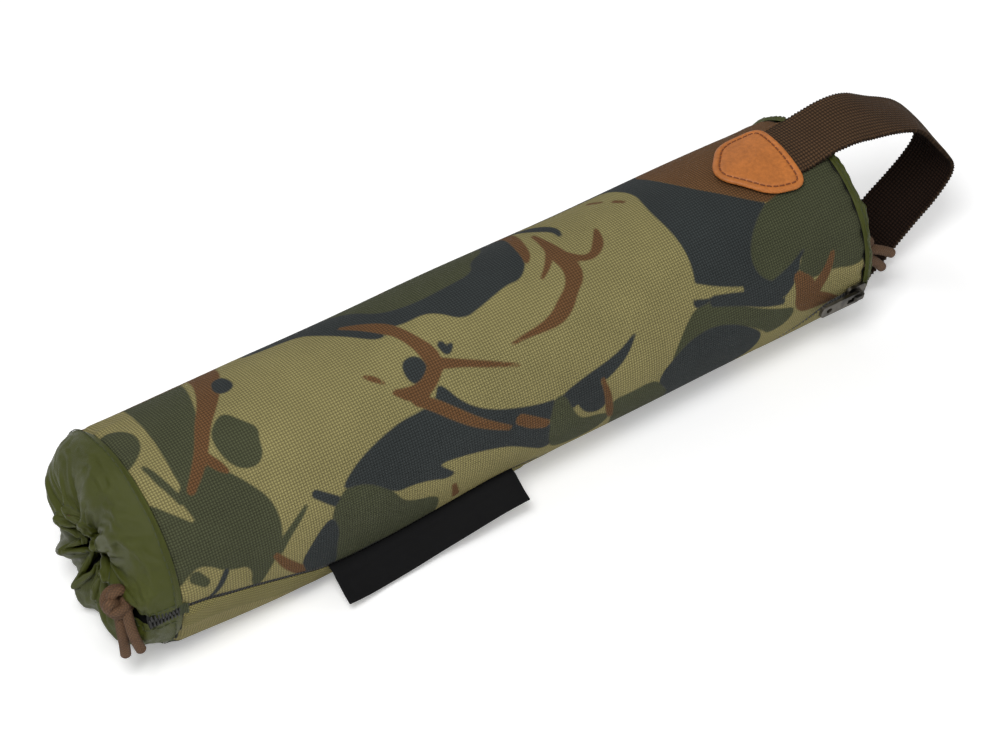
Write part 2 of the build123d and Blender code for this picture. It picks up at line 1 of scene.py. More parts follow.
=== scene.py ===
# %% [markdown]
# # A zipped float sleeve in woodland camouflage
#
# The real object is a split foam tube in a sewn fabric sleeve. A zip runs along it, a gathered nylon
# cuff closes each end with an elastic cord, and a webbing loop is sewn under a leather patch.
# The CAD model holds the sizes and the joints. This lesson dresses it: each cell makes one piece or
# one finish, in metres, in the same frame as the CAD.

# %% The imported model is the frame
import json
import math

import bmesh
import bpy
import numpy as np
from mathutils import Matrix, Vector, noise


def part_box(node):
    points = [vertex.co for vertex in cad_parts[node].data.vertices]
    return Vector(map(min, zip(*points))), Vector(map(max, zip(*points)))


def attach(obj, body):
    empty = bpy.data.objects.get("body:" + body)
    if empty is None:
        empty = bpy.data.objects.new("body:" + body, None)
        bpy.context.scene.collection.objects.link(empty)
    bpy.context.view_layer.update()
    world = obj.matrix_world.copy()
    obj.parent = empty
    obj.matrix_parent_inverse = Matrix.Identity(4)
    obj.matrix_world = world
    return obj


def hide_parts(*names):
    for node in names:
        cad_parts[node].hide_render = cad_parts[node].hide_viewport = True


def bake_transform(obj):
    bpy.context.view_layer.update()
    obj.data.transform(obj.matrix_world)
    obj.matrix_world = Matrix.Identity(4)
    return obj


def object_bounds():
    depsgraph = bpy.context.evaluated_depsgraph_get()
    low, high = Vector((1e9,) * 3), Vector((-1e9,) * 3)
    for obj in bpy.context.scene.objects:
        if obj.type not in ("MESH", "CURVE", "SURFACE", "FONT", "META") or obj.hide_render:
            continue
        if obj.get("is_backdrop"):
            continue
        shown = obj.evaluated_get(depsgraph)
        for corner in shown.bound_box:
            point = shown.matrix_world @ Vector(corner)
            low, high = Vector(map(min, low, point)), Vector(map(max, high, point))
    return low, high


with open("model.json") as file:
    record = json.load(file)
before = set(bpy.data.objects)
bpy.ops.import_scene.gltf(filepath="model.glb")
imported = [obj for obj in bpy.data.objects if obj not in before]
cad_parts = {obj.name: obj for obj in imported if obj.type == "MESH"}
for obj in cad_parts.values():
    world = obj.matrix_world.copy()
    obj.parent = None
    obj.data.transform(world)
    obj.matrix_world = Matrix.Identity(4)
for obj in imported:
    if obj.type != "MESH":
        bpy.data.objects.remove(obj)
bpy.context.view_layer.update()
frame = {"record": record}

MM = 0.001
AXIS_Z = next(mount["pos_m"][2] for mount in frame["record"]["mounts"] if mount["name"] == "handle_bore")
panel_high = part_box("sleeve_panel")[1]
HALF, RADIUS = panel_high.x, panel_high.y
print("sleeve", round(2 * HALF, 4), "long, radius", RADIUS, "axis at", AXIS_Z)

# %% [markdown]
# ## Helpers
#
# Cloth is woven flat and then rolled, so most pieces start as a grid that remembers where each
# point lay on the flat cloth. That memory is a UV map in metres, and the weave follows it however the
# cloth is bent. Curves that are given by a few points are rounded by cutting their corners twice.

# %% Curves and grids


def on_tube(x, angle, radius):
    """A point round the tube, with the angle in radians upwards from the -Y side."""
    return Vector((x, -radius * math.cos(angle), AXIS_Z + radius * math.sin(angle)))


def rounded(points, closed=False, times=2):
    """The points with their corners cut, which turns straight runs into an even curve."""
    line = np.array(points, float)
    for _ in range(times):
        after = np.roll(line, -1, axis=0)
        pairs = np.stack([0.75 * line + 0.25 * after, 0.25 * line + 0.75 * after], axis=1)
        cut = pairs.reshape(-1, line.shape[1])
        line = cut if closed else np.vstack([line[:1], cut[1:-3], line[-1:]])
    return line


def along(table, x):
    """The value at x of a smooth curve through a short table of (x, value)."""
    line = rounded(table)
    return float(np.interp(x, line[:, 0], line[:, 1]))


def new_object(name, mesh, *materials):
    data = bpy.data.meshes.new(name)
    mesh.to_mesh(data)
    mesh.free()
    for material in materials:
        data.materials.append(material)
    data.polygons.foreach_set("use_smooth", [True] * len(data.polygons))
    piece = bpy.data.objects.new(name, data)
    bpy.context.scene.collection.objects.link(piece)
    return piece


def cloth_grid(columns, rows, place, flat):
    """A grid whose points are set by place(u, v), with a UV map that is set by flat(u, v) in metres."""
    mesh = bmesh.new()
    bmesh.ops.create_grid(mesh, x_segments=columns, y_segments=rows, size=0.5)
    shares = [(vertex.co.x + 0.5, vertex.co.y + 0.5) for vertex in mesh.verts]
    cloth = mesh.loops.layers.uv.new("cloth")
    for face in mesh.faces:
        for loop in face.loops:
            loop[cloth].uv = flat(*shares[loop.vert.index])
    for vertex, (u, v) in zip(mesh.verts, shares):
        vertex.co = place(u, v)
    return mesh


def thicken(piece, thickness, offset=-1.0):
    wall = piece.modifiers.new("wall", "SOLIDIFY")
    wall.thickness = thickness
    wall.offset = offset
    return piece


def soften(piece):
    smooth = piece.modifiers.new("soft", "SUBSURF")
    smooth.levels = smooth.render_levels = 1
    return piece


def repaint(piece, material):
    piece.data.materials.clear()
    piece.data.materials.append(material)


def mend(mesh, gap):
    """Joins points nearer than the gap and turns every face outwards."""
    bmesh.ops.remove_doubles(mesh, verts=mesh.verts[:], dist=gap)
    bmesh.ops.recalc_face_normals(mesh, faces=mesh.faces[:])
    return mesh


def clamped(share):
    return min(1, max(0, share))


def distances(line):
    """How far along a line each of its points is."""
    steps = [0.0]
    for first, second in zip(line, line[1:]):
        steps.append(steps[-1] + (second - first).length)
    return steps


def dress(piece, body, slot, *nodes):
    """The piece moves with the body and stands for the CAD nodes. The slot is not used."""
    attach(piece, body)
    if nodes:
        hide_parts(*nodes)
    return piece


# %% [markdown]
# ## Finishes that several materials share
#
# A woven cloth is light on the crown of each thread and dark between threads, and that light and shade is
# painted into the colour. One node group makes the threads' height from the cloth's own coordinates, so
# every fabric can have its own thread size.
# A second group gives slow, uneven fading.

# %% Node helpers


def new_group(name, inputs, outputs):
    group = bpy.data.node_groups.new(name, "ShaderNodeTree")
    for way, sockets in (("INPUT", inputs), ("OUTPUT", outputs)):
        for label, kind in sockets:
            group.interface.new_socket(label, in_out=way, socket_type=kind)
    return group, group.nodes.new("NodeGroupInput"), group.nodes.new("NodeGroupOutput")


def feed(tree, socket, value):
    if isinstance(value, bpy.types.NodeSocket):
        tree.links.new(value, socket)
    elif value is not None:
        socket.default_value = value


def fill(tree, node, **values):
    """Sets or links a node's inputs. An underscore in a name stands for a space."""
    for label, value in values.items():
        feed(tree, node.inputs[label.replace("_", " ")], value)
    return node


def add(tree, kind, **values):
    return fill(tree, tree.nodes.new(f"ShaderNode{kind}"), **values)


def calculate(tree, operation, *values):
    node = add(tree, "Math")
    node.operation = operation
    for socket, value in zip(node.inputs, values):
        feed(tree, socket, value)
    return node.outputs[0]


def remap(tree, value, low, high, to_low=0.0, to_high=1.0):
    node = add(tree, "MapRange")
    node.interpolation_type = "SMOOTHSTEP"
    for socket, number in zip(node.inputs, (value, low, high, to_low, to_high)):
        feed(tree, socket, number)
    return node.outputs["Result"]


def mixed(tree, share, first, second, blend="MIX"):
    node = add(tree, "Mix")
    node.data_type = "RGBA"
    node.blend_type = blend
    fill(tree, node, Factor=share, A=first, B=second)
    return next(socket for socket in node.outputs if socket.type == "RGBA")


def noise_at(tree, vector, scale, detail):
    return add(tree, "TexNoise", Vector=vector, Scale=scale, Detail=detail).outputs["Fac"]


def cells_at(tree, vector, scale):
    return add(tree, "TexVoronoi", Vector=vector, Scale=scale).outputs["Distance"]


def shaded(tree, base, light):
    """The colour base made lighter or darker by light, in all its parts alike."""
    grey = add(tree, "CombineColor", Red=light, Green=light, Blue=light)
    return mixed(tree, 1.0, base, grey.outputs[0], "MULTIPLY")


def placed(tree, group, **values):
    node = add(tree, "Group")
    node.node_tree = group
    return fill(tree, node, **values)


# %% Plain weave
weave, weave_in, weave_out = new_group(
    "plain weave",
    [("Cloth", "NodeSocketVector"), ("Across", "NodeSocketFloat"), ("Along", "NodeSocketFloat")],
    [("Height", "NodeSocketFloat")],
)
split = add(weave, "SeparateXYZ", Vector=weave_in.outputs["Cloth"])
threads = [
    calculate(weave, "MULTIPLY", split.outputs[axis], weave_in.outputs[count])
    for axis, count in (("X", "Across"), ("Y", "Along"))
]
turns = [calculate(weave, "MULTIPLY", calculate(weave, "FRACT", thread), math.pi) for thread in threads]
crowns = [calculate(weave, "SINE", turn) for turn in turns]
square = calculate(weave, "ADD", *(calculate(weave, "FLOOR", thread) for thread in threads))
halved = calculate(weave, "MULTIPLY", square, 0.5)
over = calculate(weave, "MULTIPLY", calculate(weave, "FRACT", halved), 2.0)
rises = [
    calculate(weave, "MULTIPLY", own, calculate(weave, "MULTIPLY_ADD", other, 0.6, 0.4))
    for own, other in (crowns, crowns[::-1])
]
chosen = add(weave, "Mix", Factor=over, A=rises[0], B=rises[1])
weave.links.new(chosen.outputs[0], weave_out.inputs["Height"])
print("weave group", len(weave.nodes), "nodes")

# %% Fading
fade, fade_in, fade_out = new_group(
    "uneven fading",
    [
        ("Colour", "NodeSocketColor"),
        ("Place", "NodeSocketVector"),
        ("Scale", "NodeSocketFloat"),
        ("Amount", "NodeSocketFloat"),
    ],
    [("Colour", "NodeSocketColor")],
)
patchy = noise_at(fade, fade_in.outputs["Place"], fade_in.outputs["Scale"], 4.0)
centred = calculate(fade, "SUBTRACT", patchy, 0.5)
reach = calculate(fade, "MULTIPLY", fade_in.outputs["Amount"], 4.0)
gain = calculate(fade, "MULTIPLY_ADD", centred, reach, 1.0)
scaled = add(fade, "VectorMath")
scaled.operation = "SCALE"
fill(fade, scaled, Vector=fade_in.outputs["Colour"], Scale=gain)
fade.links.new(scaled.outputs[0], fade_out.inputs["Colour"])


def colour(red, green, blue):
    """A colour written as it looks, from 0 to 255, as the linear numbers that a shader takes."""
    parts = [value / 255 for value in (red, green, blue)]
    linear = [part / 12.92 if part <= 0.04045 else ((part + 0.055) / 1.055) ** 2.4 for part in parts]
    return (*linear, 1.0)


def new_material(name, roughness=0.8, **uniform):
    """A material with its shader, its cloth coordinates and its place on the object."""
    material = bpy.data.materials.new(name)
    material.use_nodes = True
    tree = material.node_tree
    shader = fill(tree, tree.nodes["Principled BSDF"], Roughness=roughness, **uniform)
    cloth = add(tree, "UVMap")
    cloth.uv_map = "cloth"
    return material, tree, shader, cloth.outputs["UV"], add(tree, "TexCoord").outputs["Object"]


def bump(tree, shader, height, depth):
    """Gives a surface a relief, with the height from 0 to 1 and the depth in metres."""
    relief = add(tree, "Bump", Strength=1.0, Distance=depth, Height=height)
    fill(tree, shader, Normal=relief.outputs["Normal"])


def weave_in_threads(made, base, pitch, light, fading, depth, turn=0.0, fibres=0.0):
    """Gives a new material its threads, with pitch as (across, along) in metres.

    Light is the painted shade between the threads and the painted light on their crowns, fading is its scale
    and amount, and turn, in degrees, is how far the threads lie off the cloth's own direction.
    """
    material, tree, shader, cloth, place = made
    if turn:
        cloth = add(tree, "Mapping", Vector=cloth, Rotation=(0, 0, math.radians(turn))).outputs[0]
    height = placed(tree, weave, Cloth=cloth, Across=1 / pitch[0], Along=1 / pitch[1]).outputs["Height"]
    faded = placed(tree, fade, Colour=base, Place=place, Scale=fading[0], Amount=fading[1])
    # The crowns are painted lighter and the gaps between threads darker: painted light and shade.
    painted_thread_light = remap(tree, height, 0.0, 1.0, *light)
    fill(tree, shader, Base_Color=shaded(tree, faded.outputs["Colour"], painted_thread_light))
    if fibres:
        height = calculate(tree, "MULTIPLY_ADD", noise_at(tree, place, 900.0, 3.0), fibres, height)
    bump(tree, shader, height, depth)
    return material


def woven(name, base, pitch, roughness=0.75, shade=0.45, depth=0.25 * MM, turn=0.0, **uniform):
    """A fabric of one colour in plain weave, with shade between its threads painted into the colour."""
    made = new_material(name, roughness, **uniform)
    return weave_in_threads(made, base, pitch, (1.0 - shade, 1.0 + 0.3 * shade), (60.0, 0.12), depth, turn)


# %% [markdown]
# ## Camera, floor and light
#
# Soft light from above and a little in front keeps the folds readable and colours close to what is
# written. The camera is set first, because it decides which side needs the most care.

# %% Camera
CAMERA_AZIMUTH, CAMERA_ELEVATION = math.radians(-34.7), math.radians(43.6)
CAMERA_DISTANCE = 1.0744
LENS, SENSOR = 108.8, 36.0
AIM_RIGHT, AIM_DOWN = 6.44, 3.47    # mm from the tube's middle to the middle of the view
back = Vector((
    math.sin(CAMERA_AZIMUTH) * math.cos(CAMERA_ELEVATION),
    -math.cos(CAMERA_AZIMUTH) * math.cos(CAMERA_ELEVATION),
    math.sin(CAMERA_ELEVATION),
))
right = Vector((math.cos(CAMERA_AZIMUTH), math.sin(CAMERA_AZIMUTH), 0))
up = back.cross(right)
aim = Vector((0, 0, AXIS_Z)) + right * AIM_RIGHT * MM - up * AIM_DOWN * MM
camera = bpy.data.objects.new("camera", bpy.data.cameras.new("camera"))
camera.data.lens = LENS
camera.data.sensor_width = SENSOR
camera.data.clip_start = 0.01
camera.location = aim + back * CAMERA_DISTANCE
camera.rotation_mode = "QUATERNION"
camera.rotation_quaternion = (-back).to_track_quat("-Z", "Y")
bpy.context.scene.collection.objects.link(camera)
bpy.context.scene.camera = camera
bpy.context.scene.view_settings.view_transform = "Standard"

# %% Floor
floor_mesh = bmesh.new()
bmesh.ops.create_grid(floor_mesh, x_segments=2, y_segments=2, size=4.0)
WHITE, PALE = (1.0, 1.0, 1.0, 1.0), (0.95, 0.95, 0.95, 1.0)
floor_material, floor_tree, floor_shader, _, _ = new_material(
    "pale floor", 0.9, Base_Color=PALE, Specular_IOR_Level=0.0, Emission_Color=WHITE)
seen = add(floor_tree, "LightPath").outputs["Is Camera Ray"]
fill(floor_tree, floor_shader, Emission_Strength=remap(floor_tree, seen, 0.0, 1.0, 0.0, 0.3))
floor = new_object("floor", floor_mesh, floor_material)
floor.location.z = -0.1 * MM
floor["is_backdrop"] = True

# %% Light
world = bpy.data.worlds.new("studio")
world.use_nodes = True
bpy.context.scene.world = world
sky = world.node_tree
path = add(sky, "LightPath")
shows = calculate(sky, "MAXIMUM", path.outputs["Is Camera Ray"], path.outputs["Is Transmission Ray"])
WORLD_STRENGTH = 0.28
strength = remap(sky, shows, 0.0, 1.0, WORLD_STRENGTH, 1.0)
fill(sky, sky.nodes["Background"], Color=WHITE, Strength=strength)
LAMPS = [((-0.5, -0.45, 1.15), 0.5, 10.6), ((0.8, -0.8, 0.7), 0.8, 1.6), ((0.2, 0.9, 0.9), 0.6, 2.4)]
for number, (spot, size, power) in enumerate(LAMPS):
    lamp = bpy.data.objects.new(f"lamp_{number}", bpy.data.lights.new(f"lamp_{number}", "AREA"))
    lamp.data.size = size
    lamp.data.energy = power
    lamp.location = spot
    lamp.rotation_mode = "QUATERNION"
    lamp.rotation_quaternion = Vector(spot).to_track_quat("Z", "Y")
    bpy.context.scene.collection.objects.link(lamp)

# %% [markdown]
# ## Elastic cord
#
# Each cuff is drawn in by an elastic cord that runs through its hem. The two ends come out at the
# slit and are tied together in one knot, with two short tails. A cord is a tube that follows a smooth
# line. A tail's line is a NURBS spline with a few control points, near those of the CAD model. The
# knot is a strand that winds almost three times round itself, as an overhand knot does when it closes
# up, with a second strand over its top.

# %% Tubes that follow a line


def ring_frames(line, closed):
    """Two directions across each point of a line. They turn with it, but don't twist round it."""
    count = len(line)
    frames, across = [], None
    for number in range(count):
        after = line[(number + 1) % count] if closed else line[min(number + 1, count - 1)]
        before = line[number - 1] if closed else line[max(number - 1, 0)]
        ahead = (after - before).normalized()
        if across is None:
            across = ahead.orthogonal()
        across = (across - ahead * across.dot(ahead)).normalized()
        frames.append((across, ahead.cross(across)))
    return frames


def tube_mesh(points, radius, sides=12, closed=False, blunt=0.5):
    """A round tube along the points. An open one gets rounded ends, and blunt says how long they are."""
    line = [Vector(point) for point in points]
    sizes = list(radius) if hasattr(radius, "__len__") else [radius] * len(line)
    radius = max(sizes)
    if closed:
        frames = ring_frames(line, True)
        back_home = frames[-1][0]
        start, side = frames[0]
        twist = math.atan2(back_home.dot(side), back_home.dot(start))
        turns = [-twist * number / (len(line) - 1) for number in range(len(line))]
        line, sizes, frames = line + line[:1], sizes + sizes[:1], frames + frames[:1]
        turns = turns + [0.0]
    else:
        caps = [math.radians(angle) for angle in (35, 65, 82, 90)]
        first, last = (line[0] - line[1]).normalized(), (line[-1] - line[-2]).normalized()
        tip = [line[0] + first * sizes[0] * blunt * math.sin(angle) for angle in reversed(caps)]
        tail = [line[-1] + last * sizes[-1] * blunt * math.sin(angle) for angle in caps]
        small = [max(math.cos(angle), 0.02) for angle in caps]
        starts = [sizes[0] * share for share in reversed(small)]
        ends = [sizes[-1] * share for share in small]
        line, sizes = tip + line + tail, starts + sizes + ends
        frames = ring_frames(line, False)
        turns = [0.0] * len(line)
    steps = distances(line)
    last_ring = len(line) - 1

    def place(u, v):
        ring = round(u * last_ring)
        angle = 2 * math.pi * v + turns[ring]
        across, side = frames[ring]
        return line[ring] + (across * math.cos(angle) + side * math.sin(angle)) * sizes[ring]

    def flat(u, v):
        return steps[round(u * last_ring)], v * 2 * math.pi * radius

    return mend(cloth_grid(last_ring, sides, place, flat), radius * 0.01)


def nurbs_route(points, resolution=8):
    """Points read from one smooth NURBS spline that has the given control points."""
    data = bpy.data.curves.new("route", "CURVE")
    data.dimensions = "3D"
    data.resolution_u = resolution
    spline = data.splines.new("NURBS")
    spline.points.add(len(points) - 1)
    for control, point in zip(spline.points, points):
        control.co = (*point, 1.0)
    spline.order_u = 3
    spline.use_endpoint_u = True
    holder = bpy.data.objects.new("route", data)
    mesh = bpy.data.meshes.new_from_object(holder)
    line = [vertex.co.copy() for vertex in mesh.vertices]
    bpy.data.objects.remove(holder)
    bpy.data.meshes.remove(mesh)
    return line


# %% Braided elastic
BRAID_PITCH = (0.85 * MM, 0.85 * MM)
BROWN = colour(100, 72, 48)
elastic_made = new_material("brown elastic", 0.8)
# The braid's colour carries painted shade between its threads and painted light on their crowns.
cord_brown = weave_in_threads(elastic_made, BROWN, BRAID_PITCH, (0.62, 1.15), (180.0, 0.2), 0.18 * MM, 45)

# %% Knots, tails and the cord in each hem
CORD_RADIUS = 1.9 * MM
PAST_SEAM, KNOT_SIDE, KNOT_BELOW = 19 * MM, -21.5 * MM, 4 * MM
# Each tail's points, in mm from the knot's middle: outwards, y, z. They start inside the knot.
TAILS = {
    "near_tail_a": [
        (-8.6, 5.8, 2.6), (-3.0, 2.2, 2.4), (0.2, -0.9, -3.2), (1.2, -3.4, -10.4), (1.0, -4.0, -17.0),
        (0.8, -3.4, -22.0),
    ],
    "near_tail_b": [
        (-9.6, 6.6, 4.4), (-3.6, 1.2, 3.0), (-1.2, -3.9, -1.4), (-0.8, -6.8, -7.8), (-1.4, -8.0, -12.8),
        (-2.6, -8.6, -17.0),
    ],
    "far_tail_a": [
        (-5.0, 8.5, 12.5), (-4.2, 5.5, 9.0), (-3.0, 2.5, 5.0), (0.5, 0.0, 0.5), (8.5, -1.6, -1.6),
        (15.2, -1.4, -7.2),
    ],
    "far_tail_b": [
        (-5.0, 8.0, 11.5), (-4.2, 4.8, 8.0), (-3.0, 1.5, 4.0), (0.5, -1.2, -1.5), (6.3, -2.2, -6.0),
        (10.6, -1.8, -11.6),
    ],
}
# The knot's two strands, in mm from its middle: up through it, over the top, round it, and tucked in.
KNOT_RISE = [
    (0.2, 0.3, -4.5), (0.0, 0.2, -1.0), (-0.9, 0.4, 2.6), (-0.4, 0.4, 4.9), (1.9, 0.2, 5.3),
    (3.7, 0.0, 3.9),
]
KNOT_OVER = [
    (0.6, -0.6, -2.5), (-1.2, -0.8, 2.4), (-2.4, -1.4, 4.4), (-3.6, -1.6, 3.4), (-4.0, -1.0, 1.4),
    (-2.4, 0, -1.0),
]
KNOT_TURNS, KNOT_STEPS, KNOT_TOP, KNOT_BOTTOM, KNOT_REACH = 2.6, 26, 2.3, -3.9, 3.9


def knot_middle(side):
    return Vector((side * (HALF + PAST_SEAM), KNOT_SIDE, AXIS_Z - KNOT_BELOW))


def knot_strands(middle, lean):
    """The line of the strand that binds the knot, and of the one that only passes over its top."""
    wound = list(KNOT_RISE)
    for step in range(1, KNOT_STEPS + 1):
        share = step / KNOT_STEPS
        turn = 2 * math.pi * KNOT_TURNS * share
        reach = KNOT_REACH * (1 - 0.22 * share**3)
        height = KNOT_TOP + (KNOT_BOTTOM - KNOT_TOP) * share + 0.5 * math.sin(turn)
        wound.append((reach * math.cos(turn), reach * math.sin(turn), height))
    wound.append((0.4, 0.2, -3.2))
    strands = []
    for points in (wound, KNOT_OVER):
        spots = [Vector(point) for point in points]
        for spot in spots:
            spot.rotate(lean)
        strands.append(nurbs_route([middle + spot * MM for spot in spots], 6))
    return strands


def joined(*meshes):
    """Several bmeshes as one."""
    whole = bmesh.new()
    for mesh in meshes:
        part = bpy.data.meshes.new("part")
        mesh.to_mesh(part)
        mesh.free()
        whole.from_mesh(part)
        bpy.data.meshes.remove(part)
    return whole


# How far each knot hangs from its place in the CAD model, because the real cords hang a little freer.
KNOT_SHIFT = {"near": Vector((1.8, -2.8, 3.0)) * MM, "far": Vector((-7.5, -0.3, -4.8)) * MM}
for end, side in (("near", -1), ("far", 1)):
    pull = f"{end}_cord_pull"
    middle = knot_middle(side) + KNOT_SHIFT[end]
    lean = Vector((0, 0, 1)).rotation_difference(Vector((side * 0.35, -0.1, 1)).normalized())
    strands = [tube_mesh(line, CORD_RADIUS * 0.92, sides=14) for line in knot_strands(middle, lean)]
    knot = new_object(f"{end}_overhand_knot", joined(*strands), cord_brown)
    dress(knot, pull, "elastic_cord", f"{end}_knot")
    for which in "ab":
        points = [middle + Vector((side * out, y, z)) * MM for out, y, z in TAILS[f"{end}_tail_{which}"]]
        route = nurbs_route(points)
        length = distances(route)[-1]
        tail = new_object(f"{end}_cord_tail_{which}", tube_mesh(route, CORD_RADIUS, sides=16), cord_brown)
        dress(tail, pull, "elastic_cord", f"{end}_tail_{which}")
        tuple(route[0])
        print(tail.name, "is", round(length / MM, 1), "mm long")

# %% [markdown]
# ## The printed camouflage
#
# A traditional woodland print is laid in order: green on khaki, then blue-black, then rust. Each shape
# here is either an area or a brush stroke with a width at every point, in millimetres on the flat
# cloth: x from the near seam, and height round the tube from the -Y side upwards. Painting is done
# with signed distances. A new shape takes the smaller distance in its own colour and cuts itself out
# of the others. The sleeve keeps the three distances as attributes, so edges stay sharp at any size.

